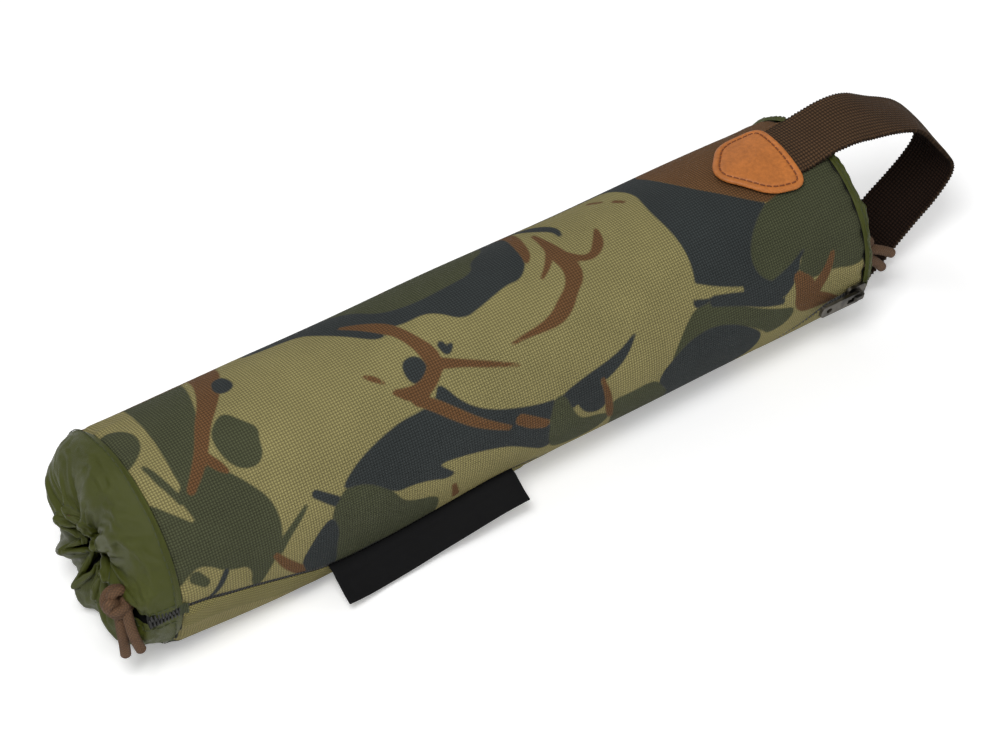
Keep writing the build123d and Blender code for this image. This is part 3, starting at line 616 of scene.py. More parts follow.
# %% Print shapes
AREA, STROKE = "area", "stroke"
KHAKI, GREEN, NAVY, RUST = "khaki", "green", "navy", "rust"
PRINT = [
    (GREEN, AREA, [(-4, 40), (1, 39), (12, 38), (13, 50), (14, 70), (16, 97), (38, 97), (37, 80), (31, 60),
        (25, 48), (28, 38), (34, 30), (39, 22), (40, 12), (38, 4), (33, -4), (30, -9), (27, -10), (26, -3),
        (20, 3), (12, 8), (8, 12), (3, 10), (0, 6), (-4, 10)]),
    (KHAKI, AREA, [(-4, 52), (5, 52), (9, 56), (12, 58), (14, 72), (17, 97), (8, 97), (9, 84), (13, 66),
        (12, 50), (13, 38), (11, 38), (10, 34), (13, 24), (6, 31), (0, 38), (-4, 40)]),
    (GREEN, AREA, [(-4, 72), (2, 72), (7, 69), (10, 63), (8, 57), (3, 53), (-4, 51)]),
    (GREEN, STROKE, [(5, 50, 0.8), (7, 44, 1.3), (9, 38, 1.2), (10, 34, 0.7)]),
    (KHAKI, AREA, [(1, 3), (4, 10), (8, 12), (13, 9), (16, 6), (21, 4), (25, 3), (27, -2), (25, -9),
        (-4, -10), (-4, 3)]),
    (GREEN, STROKE, [(6, 8, 2.2), (9, 4.5, 1.6)]),
    (NAVY, STROKE, [(17, 5, 1.0), (14, 0, 1.1), (9, -4, 0.6)]),
    (GREEN, STROKE, [(36, 1, 2.0), (41, 7, 1.4), (46, 11, 1.2), (50, 14.5, 0.6)]),
    (GREEN, AREA, [(30, 50), (35, 55), (39, 56), (42, 51), (46, 46), (44, 42), (43, 37), (39, 34), (33, 36),
        (30, 42)]),
    (RUST, STROKE, [(15, 36, 1.4), (20, 41, 2.0), (25, 47, 2.2), (30, 55, 2.5), (36, 62, 3.2), (41, 70, 4.2),
        (45, 80, 5.2), (47, 96, 5.5)]),
    (RUST, STROKE, [(24, 46, 1.6), (27, 40, 1.8), (29, 37, 0.8)]),
    (NAVY, AREA, [(41, 66), (43, 73), (47, 75), (49, 72), (49, 66), (45, 64)]),
    (RUST, STROKE, [(36, 1, 1.0), (40, -6, 1.9), (46, -14, 2.1), (52, -22, 1.6)]),
    (NAVY, STROKE, [(54.5, 17, 1.4), (60, 12, 1.8), (66, 7, 2.0)]),
    (GREEN, AREA, [(58, 6), (63, 12), (66, 14), (70, 16), (74, 14), (80, 8), (84, 2), (87, -3), (92, -6),
        (100, -9), (103, -14), (102, -30), (54, -30), (56, -20), (60, -8)]),
    (NAVY, AREA, [(46, -9), (50, -2), (54, 3), (59, 6), (61, -2), (60, -10), (62, -25), (52, -28),
        (48, -16)]),
    (NAVY, AREA, [(64, 14), (68, 18), (75, 22), (84, 25), (93, 27), (100, 27), (107, 28), (110, 33),
        (112, 31), (115, 25), (120, 20), (127, 16), (135, 13), (145, 10), (153, 9), (153, -10), (147, -14),
        (140, -8), (132, -2), (125, 1), (115, 4), (105, 6), (101, 6), (107, 0), (108, -2), (104, -2),
        (98, 1), (90, 3), (84, 3), (78, 9), (72, 13)]),
    (RUST, STROKE, [(108, -8, 0.8), (110, -16, 1.4)]),
    (NAVY, AREA, [(102, 45), (107, 46), (110, 43), (110, 38), (107, 35), (104, 35), (101, 39)]),
    (NAVY, STROKE, [(118.5, 45, 1.3), (119, 41.5, 1.3), (121.5, 43.5, 0.8)]),
    (NAVY, AREA, [(57, 99), (60, 88), (62, 82), (75, 80.5), (82, 78.5), (86, 73), (92, 66), (99, 58),
        (104, 57), (108, 60), (113, 59), (120, 59.5), (125, 57), (131, 50), (140, 52), (147, 54),
        (153, 55.5), (158, 55), (163, 59), (167, 66), (169, 72), (170, 82), (171, 99)]),
    (GREEN, AREA, [(95, 99), (96, 86), (103, 78), (108, 69), (120, 66), (135, 67), (147, 68), (150, 75),
        (160, 80), (162, 99)]),
    (RUST, STROKE, [(94, 71, 0.8), (100, 66, 1.9), (105, 61, 2.7), (108, 57, 2.2), (111, 50, 2.3),
        (113, 44, 3.2), (113, 39, 2.6), (107, 34, 2.6), (101, 33, 3.0), (95, 36.5, 1.0)]),
    (RUST, STROKE, [(101, 31, 2.0), (106, 27, 2.1), (112, 21, 2.1), (120, 14, 1.7), (131, 7, 0.9)]),
    (RUST, STROKE, [(115, 39, 2.0), (122, 36, 1.3), (130, 32, 1.1), (141, 27, 0.4)]),
    (RUST, STROKE, [(88, 46, 0.6), (90.5, 44, 1.1), (93, 41, 0.4)]),
    (RUST, STROKE, [(173, 96, 2.2), (171, 80, 2.0), (169, 72, 2.0), (167, 64, 1.6), (165, 61, 0.7)]),
    (NAVY, STROKE, [(175, 86, 1.4), (180, 78, 2.4), (184, 71, 1.6), (183, 66, 0.6)]),
    (RUST, STROKE, [(176, 73, 0.7), (176, 66, 1.5), (176, 58, 3.2), (177, 52, 3.2), (176, 47, 3.3),
        (172, 43, 2.2), (167, 39, 3.0), (162, 36, 2.6), (155, 35, 1.4), (148, 35, 0.8), (142, 34.5, 0.4)]),
    (RUST, STROKE, [(177, 57, 2.0), (182, 52, 1.1), (187, 51, 1.3), (192, 55, 2.1), (195, 61, 0.6)]),
    (RUST, STROKE, [(165, 51.5, 0.5), (170, 55, 1.0), (174, 60, 1.2)]),
    (RUST, STROKE, [(205, 80, 1.0), (208, 76, 0.7)]),
    (RUST, STROKE, [(211, 72, 1.0), (213, 69, 0.8)]),
    (NAVY, AREA, [(212, 99), (217, 82), (219, 70), (217, 62), (216.5, 55), (218, 45), (218.5, 35),
        (216.5, 25), (212, 18), (220, 16), (230, 15), (240, 12), (250, 5), (256, 8), (262, 18), (258, 42),
        (250, 48), (240, 56), (232, 66), (229, 80), (231, 99)]),
    (RUST, AREA, [(229, 99), (229, 82), (231, 70), (236, 60), (244, 52), (252, 45), (258, 41), (264, 40),
        (271, 41), (280, 52), (295, 70), (295, 99)]),
    (GREEN, AREA, [(258, 42), (252, 39), (245, 33), (241, 26), (242, 19), (247, 14), (253, 13), (259, 17),
        (263, 19), (258, 12), (262, 8), (275, 8), (285, 4), (295, 6), (295, 66), (282, 62), (274, 47),
        (266, 43)]),
    (KHAKI, STROKE, [(212, 25, 3.4), (222, 20.5, 2.3), (230, 17.7, 1.6), (234, 16.5, 1.3)]),
    (GREEN, AREA, [(209, 14), (214, 18), (222, 17), (232, 11), (242, 5), (250, 1), (258, -2), (254, -9),
        (246, -10), (243, -6), (236, 0), (226, 6), (215, 8), (207, 4), (200, 0), (205, 9)]),
    (NAVY, STROKE, [(222, 17, 2.0), (234, 13, 2.6), (244, 8, 2.8), (251, 4, 1.2)]),
    (NAVY, STROKE, [(246, 13, 0.9), (256, 15, 1.6), (263, 20, 0.5)]),
    (NAVY, AREA, [(195, -4), (203, 3), (210, 7), (220, 8), (230, 4), (238, -2), (243, -8), (242, -16),
        (236, -24), (222, -30), (206, -30), (199, -16)]),
    (GREEN, AREA, [(174, -4), (183, -4.5), (193, -4), (197, -8), (204, -20), (200, -30), (180, -30),
        (176, -14)]),
    (NAVY, STROKE, [(187, 19, 0.4), (181, 14, 2.0), (174, 11, 3.0), (166, 9, 3.6), (156, 6, 4.2),
        (150, 2, 4.4)]),
    (GREEN, AREA, [(149, 9), (155, 10), (158, 0), (162, -6), (170, -8), (176, -12), (170, -22), (152, -18),
        (147, -8)]),
    (NAVY, AREA, [(158, 9), (166, 10), (171, 6), (173, 0), (171, -6), (164, -4), (160, 2)]),
    (RUST, STROKE, [(136, 8, 2.0), (141, 4, 2.3), (146, 1, 1.6)]),
    (RUST, STROKE, [(171, 8, 0.7), (173, 0, 1.3), (174, -8, 1.6), (176, -14, 0.7)]),
    (RUST, STROKE, [(259, 11, 2.2), (262, 5, 4.6), (262, -2, 5.0), (270, -5, 3.4), (277, -8, 1.0)]),
    (RUST, STROKE, [(266, 2, 3.0), (272, 8, 2.0), (275, 14, 1.0)]),
    (NAVY, AREA, [(272, -9), (280, -10), (293, -12), (293, -30), (276, -30), (273, -18)]),
    (KHAKI, AREA, [(-4, -10), (12, -12), (26, -11), (26, -34), (-4, -34)]),
]
EDGE_SOFTNESS = 0.35        # mm of cloth over which one ink turns into the next

# %% Distances to the shapes


def distance_to_runs(spots, line, widths):
    """The distance from each spot to a line of runs, less the line's own half width there."""
    best = np.full(len(spots), np.inf)
    for start, end, first, second in zip(line, line[1:], widths, widths[1:]):
        run = end - start
        share = np.clip(((spots - start) @ run) / max(run @ run, 1e-9), 0, 1)
        reach = np.linalg.norm(spots - start - share[:, None] * run, axis=1)
        best = np.minimum(best, reach - (first + (second - first) * share))
    return best


FAR_OFF = 8.0               # mm from a shape beyond which its distance no longer matters


def signed_distance(kind, points, spots):
    line = rounded(points, closed=kind == AREA)
    low, high = line[:, :2].min(axis=0) - FAR_OFF, line[:, :2].max(axis=0) + FAR_OFF
    near = np.all((spots > low) & (spots < high), axis=1)
    result = np.full(len(spots), FAR_OFF)
    if not near.any():
        return result
    close = spots[near]
    if kind == STROKE:
        result[near] = distance_to_runs(close, line[:, :2], line[:, 2])
        return result
    loop = np.vstack([line, line[:1]])
    inside = np.zeros(len(close), bool)
    for start, end in zip(loop, loop[1:]):
        crosses = (start[1] > close[:, 1]) != (end[1] > close[:, 1])
        rise = end[1] - start[1] if end[1] != start[1] else 1e-9
        reach = start[0] + (close[:, 1] - start[1]) / rise * (end[0] - start[0])
        inside ^= crosses & (close[:, 0] < reach)
    edge = distance_to_runs(close, loop, np.zeros(len(loop)))
    result[near] = np.where(inside, -edge, edge)
    return result


AROUND = 2 * math.pi * RADIUS / MM
LENGTH = 2 * HALF / MM
PRINT_TURN = 186.0          # the print comes again on the other side of the tube, turned end for end
SWAY, SWAY_SCALE = 12.0, 20.0    # mm
SWAY_OUTSIDE = (-34, 84)    # mm round the tube between which the print stays as drawn


def swayed(spots):
    """The spots, with those of the back and underside moved, so that no shape there has a straight edge."""
    scaled = spots / SWAY_SCALE
    sway = [[noise.noise(Vector((x, y, layer))) for layer in (2.0, 9.0)] for x, y in scaled]
    low, high = SWAY_OUTSIDE
    share = np.clip(np.maximum((spots[:, 1] - high) / 10, (low - spots[:, 1]) / 10), 0, 1)
    return spots + SWAY * share[:, None] * np.array(sway)


def paint_print(spots):
    """The distance from each cloth spot, in mm, to each of the three inks."""
    spots = swayed(spots)
    copies = [spots, np.array([LENGTH, PRINT_TURN]) - spots]
    copies += [copy + (0, turn) for copy in copies for turn in (-AROUND, AROUND)]
    fields = {ink: np.full(len(spots), 99.0) for ink in (GREEN, NAVY, RUST)}
    for ink, kind, points in PRINT:
        reach = np.min([signed_distance(kind, points, copy) for copy in copies], axis=0)
        for other in fields:
            if other == ink:
                fields[other] = np.minimum(fields[other], reach)
            else:
                fields[other] = np.maximum(fields[other], -reach)
    return fields


# %% Camouflage material
camo_made = new_material("woodland print", 0.85, Specular_IOR_Level=0.25)
camo, camo_tree = camo_made[:2]
CAMO_INKS = {GREEN: colour(74, 77, 54), NAVY: colour(52, 57, 57), RUST: colour(108, 76, 46)}
CAMO_PITCH = 1.05 * MM
ink = colour(146, 137, 90)
for label, ink_colour in CAMO_INKS.items():
    field = camo_tree.nodes.new("ShaderNodeAttribute")
    field.attribute_name = label
    cover = remap(camo_tree, field.outputs["Fac"], -EDGE_SOFTNESS, 2 * EDGE_SOFTNESS, 1.0, 0.0)
    ink = mixed(camo_tree, cover, ink, ink_colour)
# The print's colour carries painted shade between the threads and painted light on their crowns.
weave_in_threads(camo_made, ink, (CAMO_PITCH, CAMO_PITCH), (0.55, 1.22), (45.0, 0.1), 0.3 * MM, fibres=0.25)
print("camouflage has", len(PRINT), "shapes and", len(camo_tree.nodes), "nodes")

# %% [markdown]
# ## The sleeve
#
# The sleeve is one turn of cloth, open along the zip. It starts as a grid that is rolled into a tube.
# The cloth is cut a little larger than the foam, so it hangs slack below the zip near the open end,
# and the zip's line sags with it. Long soft waves and small puckers at the seams break up the roll.

# %% Where the zip and the slack run
ZIP_LINE = [
    (0, -4.2), (8, -5.0), (15, -8.5), (28, -15.0), (45, -26.0), (60, -36.0), (82, -38.5), (108, -35.5),
    (133, -30.0), (145, -35.0), (160, -42.0), (190, -46.0), (228, -46.0), (248, -40.0), (262, -28.0),
    (274, -16.0), (290, -14.0),
]
SLACK = [(0, 2.6), (25, 4.2), (52, 5.6), (80, 4.6), (110, 2.2), (132, 0.4), (290, 0.2)]
SLACK_MIDDLE, SLACK_SPREAD = -56.0, 21.0
SEAM_REACH = 9.0            # mm from a seam over which the cloth puckers and draws in
WAVE, PUCKER, PUCKERS, SEAM_DRAW = 0.55, 0.45, 26, 0.9    # mm, mm, how many round the tube, mm
WAVE_ALONG, WAVE_ROUND, DRAW_REACH = 0.018, 1.6, 1.6      # waves to a mm, waves to a radius, mm


def zip_angle(past):
    return math.radians(along(ZIP_LINE, past))


def cloth_radius(past, angle):
    """The radius of the sleeve's outside, with past in mm from the near seam."""
    turn = math.degrees(angle)
    turn = (turn + 180) % 360 - 180
    slack = along(SLACK, past) * math.exp(-(((turn - SLACK_MIDDLE) / SLACK_SPREAD) ** 2))
    point = Vector((past * WAVE_ALONG, math.cos(angle) * WAVE_ROUND, math.sin(angle) * WAVE_ROUND))
    wave = noise.noise(point) * WAVE
    edge = min(past, LENGTH - past)
    pucker = math.exp(-edge / SEAM_REACH) * PUCKER * math.sin(PUCKERS * angle + 3 * noise.noise(point * 3))
    draw = SEAM_DRAW * math.exp(-((edge / DRAW_REACH) ** 2))
    return RADIUS + (slack + wave + pucker - draw) * MM


def rest_on_floor(point, ease=0.5 * MM):
    """Nothing goes through the floor: a point below it is pressed flat on it."""
    point.z = (point.z + math.sqrt(point.z**2 + ease**2)) / 2
    return point


def cloth_point(past, angle, lift=0.0):
    """A point on the sleeve's outside, lifted by so much."""
    return rest_on_floor(on_tube(past * MM - HALF, angle, cloth_radius(past, angle) + lift))


# %% Roll the sleeve
SLEEVE_COLUMNS, SLEEVE_ROWS = 240, 192
HALF_SLIT = 0.45            # mm from the zip's line to each folded edge
EDGE_ROUND, EDGE_DEPTH = 0.6, 0.7    # mm of cloth over which that edge turns in, and how far it goes
zip_angles = [zip_angle(LENGTH * column / SLEEVE_COLUMNS) for column in range(SLEEVE_COLUMNS + 1)]


def place_sleeve(u, v):
    past = LENGTH * u
    slit = HALF_SLIT * MM / RADIUS
    angle = zip_angles[round(u * SLEEVE_COLUMNS)] + slit + v * (2 * math.pi - 2 * slit)
    point = cloth_point(past, angle)
    fold = math.exp(-min(v, 1 - v) * AROUND / EDGE_ROUND) * EDGE_DEPTH * MM
    inward = Vector((0, -point.y, AXIS_Z - point.z)).normalized()
    return point + inward * fold


def sleeve_cloth(u, v):
    angle = zip_angles[round(u * SLEEVE_COLUMNS)] + v * 2 * math.pi
    return (LENGTH * u * MM, angle * RADIUS)


sleeve_mesh = cloth_grid(SLEEVE_COLUMNS, SLEEVE_ROWS, place_sleeve, sleeve_cloth)
rolled = np.array([tuple(vertex.co) for vertex in sleeve_mesh.verts])
sleeve = new_object("sleeve", sleeve_mesh, camo)
spots = np.stack(
    [(rolled[:, 0] + HALF) / MM, np.arctan2(rolled[:, 2] - AXIS_Z, -rolled[:, 1]) * RADIUS / MM], axis=1
)
for label, values in paint_print(spots).items():
    attribute = sleeve.data.attributes.new(label, "FLOAT", "POINT")
    attribute.data.foreach_set("value", values.astype(np.float32))
thicken(sleeve, 0.7 * MM)
dress(sleeve, "cover", "camouflage_fabric", "sleeve_panel")
print("sleeve", len(sleeve.data.polygons), "faces")

# %% [markdown]
# ## The gathered cuffs
#
# A cuff is a straight band of thin nylon, as long as the tube is round. Its far edge is folded over
# into a casing, and the elastic pulls that edge to about half its length, so the cloth has to crumple.
# Crumpled cloth is hard to draw by hand and easy to simulate: the seam is pinned, the stitch line of
# the casing is pinned on a smaller ring, and the cloth between them finds its own folds against the
# foam. The rest shape is the flat band, which tells the solver how much cloth there really is.

# %% The band before it settles
CUFF_COLUMNS = 176
BAND_ROWS, CASING_ROWS, HEM_ROWS = 23, 11, 3
CUFF_ROWS = BAND_ROWS + CASING_ROWS + HEM_ROWS
CUFF_RADIUS = RADIUS - 0.4 * MM
SLIT_AT_HEM = -10.5         # degrees round the tube
SLIT_CALM = 0.05            # share of the band beside each edge of the slit where the waves die down
HALF_OPENING = 1.3          # mm from the middle of the slit to each edge
FOLD_WIDTHS, FOLD_DEPTHS = (0.7, 1.3), (0.6, 1.5)    # the range of each, as shares of an even wave's
TOP_AND_BACK = math.radians(150)
WAVE_SHARE = 0.7            # share of a wave's depth that goes outwards, and as much along the tube
CASING_CALM = 0.7           # share of the part along the tube that the casing takes away
# For each cuff: side, the slit's place at the seam in degrees, folds, and a seed for their sizes.
# Then, in mm: how far the band lies flat on the tube, its length and the casing's, and places as
# (past the seam, radius): two that the band bulges towards, the casing's stitch line, how far the
# casing swells outwards, and its lip. Short is how much less the band bulges at the top and back.
CUFFS = {
    "near": {
        "side": -1, "slit": -4.0, "folds": 8, "seed": 12, "flat": 3.0, "band": 33.0, "casing": 8.0,
        "bulge": [(13.0, 38.8), (18.0, 34.4)], "stitch": (12.8, 13.5), "swell": 4.0, "lip": (12.2, 10.5),
        "short": 4.0,
    },
    "far": {
        "side": 1, "slit": -14.0, "folds": 9, "seed": 11, "flat": 1.0, "band": 23.0, "casing": 7.0,
        "bulge": [(4.0, 38.1), (7.6, 34.6)], "stitch": (6.4, 18.0), "swell": 3.0, "lip": (6.0, 15.5),
        "short": 0.0,
    },
}
# How steep a wave is (its depth over its length, times 2 pi) when its cloth is so many times longer.
WAVE_LENGTHS = [1.0, 1.05, 1.216, 1.397, 1.678, 1.949, 2.224, 2.507, 2.8]
WAVE_STEEPNESS = [0.0, 0.45, 1.0, 1.5, 2.0, 2.5, 3.0, 3.5, 4.0]


def bezier(corners, share):
    rest = 1 - share
    weights = (rest**3, 3 * rest**2 * share, 3 * rest * share**2, share**3)
    return [sum(weight * corner[axis] for weight, corner in zip(weights, corners)) for axis in (0, 1)]


def cloth_reach(plan, row):
    """How far a row is from the seam along the flat cloth, in mm."""
    reach = plan["band"] * min(row, BAND_ROWS) / BAND_ROWS
    return reach + plan["casing"] * max(row - BAND_ROWS, 0) / CASING_ROWS


def cuff_section(plan, row):
    """How far past the seam a row of the cuff starts, and at what radius, in mm."""
    radius, (stitch, stitch_radius), (lip, lip_radius) = CUFF_RADIUS / MM, plan["stitch"], plan["lip"]
    done = cloth_reach(plan, row)
    if done <= plan["flat"]:
        return done, radius
    if row <= BAND_ROWS:
        share = (done - plan["flat"]) / (plan["band"] - plan["flat"])
        return bezier([(plan["flat"], radius), *plan["bulge"], plan["stitch"]], share)
    if row <= BAND_ROWS + CASING_ROWS:
        swell = [(stitch + plan["swell"], stitch_radius + 1.0), (lip + plan["swell"], lip_radius - 2.5)]
        return bezier([plan["stitch"], *swell, plan["lip"]], (row - BAND_ROWS) / CASING_ROWS)
    inside = (row - BAND_ROWS - CASING_ROWS) / HEM_ROWS
    return lip - inside, lip_radius + inside * (stitch_radius - lip_radius - 0.4)


def start_cuff(plan):
    """The cuff's grid, gathered into uneven waves that use up the cloth at every radius."""
    draw = np.random.default_rng(plan["seed"])
    folds, side = plan["folds"], plan["side"]
    knots = np.concatenate([[0], np.cumsum(draw.uniform(*FOLD_WIDTHS, folds * 2 + 1))])
    depths = draw.uniform(*FOLD_DEPTHS, folds + 1)

    def place(u, v):
        row = round(v * CUFF_ROWS)
        past, radius = cuff_section(plan, row)
        reach = min(1, row / BAND_ROWS)
        middle = math.radians(plan["slit"] + (SLIT_AT_HEM - plan["slit"]) * reach)
        gap = HALF_OPENING / radius
        angle = middle + gap + u * (2 * math.pi - 2 * gap)
        steep = np.interp(CUFF_RADIUS / MM / radius, WAVE_LENGTHS, WAVE_STEEPNESS)
        depth = steep * radius / folds * np.interp(u, np.linspace(0, 1, folds + 1), depths)
        wave = depth * math.sin(np.interp(u, knots / knots[-1], np.arange(len(knots))) * math.pi)
        wave *= min(1, u / SLIT_CALM, (1 - u) / SLIT_CALM)
        behind = max(0, math.cos(angle - TOP_AND_BACK)) * plan["short"]
        wave *= 1 - 0.1 * behind
        past -= behind * math.sin(math.pi * min(1, row / BAND_ROWS))
        forward = WAVE_SHARE * wave * reach * (1 - CASING_CALM * clamped((row - BAND_ROWS) / CASING_ROWS))
        return on_tube(side * (HALF + (past + forward) * MM), angle, (radius + WAVE_SHARE * wave) * MM)

    def flat(u, v):
        return (u * 2 * math.pi * CUFF_RADIUS, cloth_reach(plan, v * CUFF_ROWS) * MM)

    mesh = cloth_grid(CUFF_COLUMNS, CUFF_ROWS, place, flat)
    if side < 0:
        bmesh.ops.reverse_faces(mesh, faces=mesh.faces[:])
    return mesh


cuff_grid = np.arange((CUFF_ROWS + 1) * (CUFF_COLUMNS + 1)).reshape(CUFF_ROWS + 1, CUFF_COLUMNS + 1)
NYLON_CLOTH = {"quality": 5, "mass": 0.0004, "tension_stiffness": 15, "compression_stiffness": 15,
               "shear_stiffness": 5, "bending_stiffness": 0.4, "air_damping": 2}
NYLON_CONTACT = {"distance_min": 0.6 * MM, "use_self_collision": True, "self_distance_min": 0.7 * MM,
                 "collision_quality": 2}
FLAT_START, FLAT_TURN = math.radians(-0.6), math.radians(353.2)
CUFF_FRAMES = 6


def set_cloth(cuff, plan):
    """Pins the seam, the casing's two edges and the slit beside the zip, and sets the cloth."""
    held = np.concatenate([
        cuff_grid[:2].ravel(),
        cuff_grid[BAND_ROWS],
        cuff_grid[BAND_ROWS + CASING_ROWS:].ravel(),
        cuff_grid[:8, [0, -1]].ravel(),
    ])
    pins = cuff.vertex_groups.new(name="pins")
    pins.add([int(number) for number in held], 1.0, "REPLACE")
    cuff.shape_key_add(name="gathered")
    band = cuff.shape_key_add(name="flat band")
    rest = []
    for row in range(CUFF_ROWS + 1):
        for column in range(CUFF_COLUMNS + 1):
            angle = FLAT_START + column / CUFF_COLUMNS * FLAT_TURN
            rest.extend(on_tube(plan["side"] * (HALF + cloth_reach(plan, row) * MM), angle, CUFF_RADIUS))
    band.data.foreach_set("co", rest)
    cloth = cuff.modifiers.new("cloth", "CLOTH")
    cloth.settings.rest_shape_key = band
    cloth.settings.vertex_group_mass = "pins"
    cloth.settings.effector_weights.gravity = 0.5
    for settings, values in ((cloth.settings, NYLON_CLOTH), (cloth.collision_settings, NYLON_CONTACT)):
        for name, value in values.items():
            setattr(settings, name, value)
    cloth.point_cache.frame_start = 1
    cloth.point_cache.frame_end = CUFF_FRAMES + 1


# %% What the cuffs lie against


def collider(name, mesh, gap=0.5 * MM):
    solid = new_object(name, mesh)
    solid.modifiers.new("collision", "COLLISION")
    solid.collision.thickness_outer = gap
    return solid


foam_low, foam_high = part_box("foam_core")
FOAM_PAST = {-1: foam_high.x - HALF, 1: 4.4 * MM}   # the strap end is pulled flatter
FOAM_RADIUS = (foam_high.y - foam_low.y) / 2
FOAM_ROUND, FOAM_INSIDE, FOAM_BORE, SHOULDER_STEPS = 10 * MM, 30 * MM, 15 * MM, 7


def foam_end(side):
    """The end of the foam: a line from the tube's side round the shoulder to the bore, spun round."""
    mesh = bmesh.new()
    past = FOAM_PAST[side]
    turned = [(HALF - FOAM_INSIDE, FOAM_RADIUS)]
    for step in range(SHOULDER_STEPS + 1):
        angle = math.pi / 2 * step / SHOULDER_STEPS
        turned.append((HALF + past - min(FOAM_ROUND, past) * (1 - math.sin(angle)),
                       FOAM_RADIUS - FOAM_ROUND * (1 - math.cos(angle))))
    turned.append((HALF + past, FOAM_BORE))
    spots = [mesh.verts.new((side * x, -radius, AXIS_Z)) for x, radius in turned]
    runs = [mesh.edges.new(pair) for pair in zip(spots, spots[1:])]
    bmesh.ops.spin(mesh, geom=spots + runs, cent=(0, 0, AXIS_Z), axis=(1, 0, 0), angle=2 * math.pi,
                   steps=64, use_merge=True)
    bmesh.ops.recalc_face_normals(mesh, faces=mesh.faces)
    return mesh


ground = bmesh.new()
bmesh.ops.create_grid(ground, x_segments=4, y_segments=4, size=0.4)
strap_end = bmesh.new()
strap_low, strap_high = Vector((HALF - 4 * MM, -15.5 * MM, 0)), Vector((0.172, 11.5 * MM, 2.2 * MM))
bmesh.ops.create_cube(strap_end, size=1.0)
for corner in strap_end.verts:
    corner.co = Vector([strap_low[axis] if corner.co[axis] < 0 else strap_high[axis] for axis in range(3)])

# %% Run both cuffs at once
cuffs = {}
for end, plan in CUFFS.items():
    cuffs[end] = new_object(f"{end}_gathered_cuff", start_cuff(plan))
helpers = [collider("foam_end_near", foam_end(-1)), collider("foam_end_far", foam_end(1))]
helpers += [collider("ground", ground), collider("strap_end", strap_end)]
for end, plan in CUFFS.items():
    set_cloth(cuffs[end], plan)
for number in range(1, CUFF_FRAMES + 1):
    bpy.context.scene.frame_set(number)
shapes = bpy.context.evaluated_depsgraph_get()
for end, cuff in cuffs.items():
    settled = bpy.data.meshes.new_from_object(cuff.evaluated_get(shapes))
    cuff.modifiers.clear()
    cuff.shape_key_clear()
    cuff.data = settled
for helper in helpers:
    bpy.data.objects.remove(helper)
bpy.context.scene.frame_set(1)

# %% Nylon, and the settled cuffs as pieces
nylon = woven("olive nylon", colour(72, 77, 28), (0.42 * MM, 0.42 * MM), roughness=0.4, shade=0.2,
              depth=0.06 * MM, Specular_IOR_Level=0.25)
cuff_points = {}
for end, cuff in cuffs.items():
    for vertex in cuff.data.vertices:
        vertex.co = rest_on_floor(vertex.co.copy(), 0.6 * MM)
    cuff_points[end] = [vertex.co.copy() for vertex in cuff.data.vertices]
    repaint(cuff, nylon)
    cuff.vertex_groups.clear()
    soften(thicken(cuff, 0.35 * MM, 0.0))
    dress(cuff, "cover", "cuff_nylon", f"{end}_cuff")
    plan = CUFFS[end]
    low = min(vertex.co.x for vertex in cuff.data.vertices)
    high = max(vertex.co.x for vertex in cuff.data.vertices)
    print(cuff.name, "reaches", round((max(-low, high) - HALF) / MM, 1), "mm past the seam")

# %% [markdown]
# ## Stitches
#
# A row of stitches is a row of short dashes that lie in the cloth. Each dash is a small six-sided
# tube between two points on the cloth, so a row follows every fold. The seams themselves are a thin
# seam thread that lies in the groove between the two fabrics, coloured near black as painted shade for the
# groove.

# %% Rows of dashes
THREAD_RADIUS = 0.2 * MM
# The cuff's rows of dashes: one so many mm past the seam, and one so many columns from the slit's edge.
SEAM_ROW, SLIT_COLUMN = 3.2, 2.2
DASH_STEP, DASH_ROUND, DASH_DOWN = 2.0, 1.24, 1.25    # columns or rows
STITCH_OFF = 0.3 * MM       # from the middle of the cuff's cloth to a dash on its outside
SEAM_RADIUS, SEAM_SUNK = 0.35 * MM, 0.25 * MM
NECK_SHARE, NEAR_NECK_DROP = 0.65, 1.5 * MM    # a stretched cord is thinner, and the near one sags
# In the casing the cord's radius is this share, and more by so much within some columns of the slit.
HIDDEN_SHARE, OUT_SHARE, OUT_COLUMNS = 0.12, 0.78, 6


def dashes(name, lines, material, body, slot, radius=THREAD_RADIUS):
    """One piece with a dash for every short line of points."""
    mesh = joined(*(tube_mesh(line, radius, sides=6, blunt=0.8) for line in lines))
    return dress(new_object(name, mesh, material), body, slot)


def cuff_spot(end, row, column):
    """A point on the settled cuff, with row and column anywhere between the grid's own."""
    low_row, low_column = min(int(row), CUFF_ROWS - 1), min(int(column), CUFF_COLUMNS - 1)
    points, both = cuff_points[end], (0, 1)
    corner = [[points[cuff_grid[low_row + down][low_column + across]] for across in both] for down in both]
    low = corner[0][0].lerp(corner[0][1], column - low_column)
    high = corner[1][0].lerp(corner[1][1], column - low_column)
    spot = low.lerp(high, row - low_row)
    off = (corner[0][1] - corner[0][0]).cross(corner[1][0] - corner[0][0]).normalized()
    outwards = Vector((0, spot.y, spot.z - AXIS_Z)) + Vector((math.copysign(0.01, spot.x), 0, 0))
    return spot + off * math.copysign(STITCH_OFF, off.dot(outwards))


def thread_material(name, shade, roughness=0.7):
    return new_material(name, roughness, Base_Color=shade)[0]


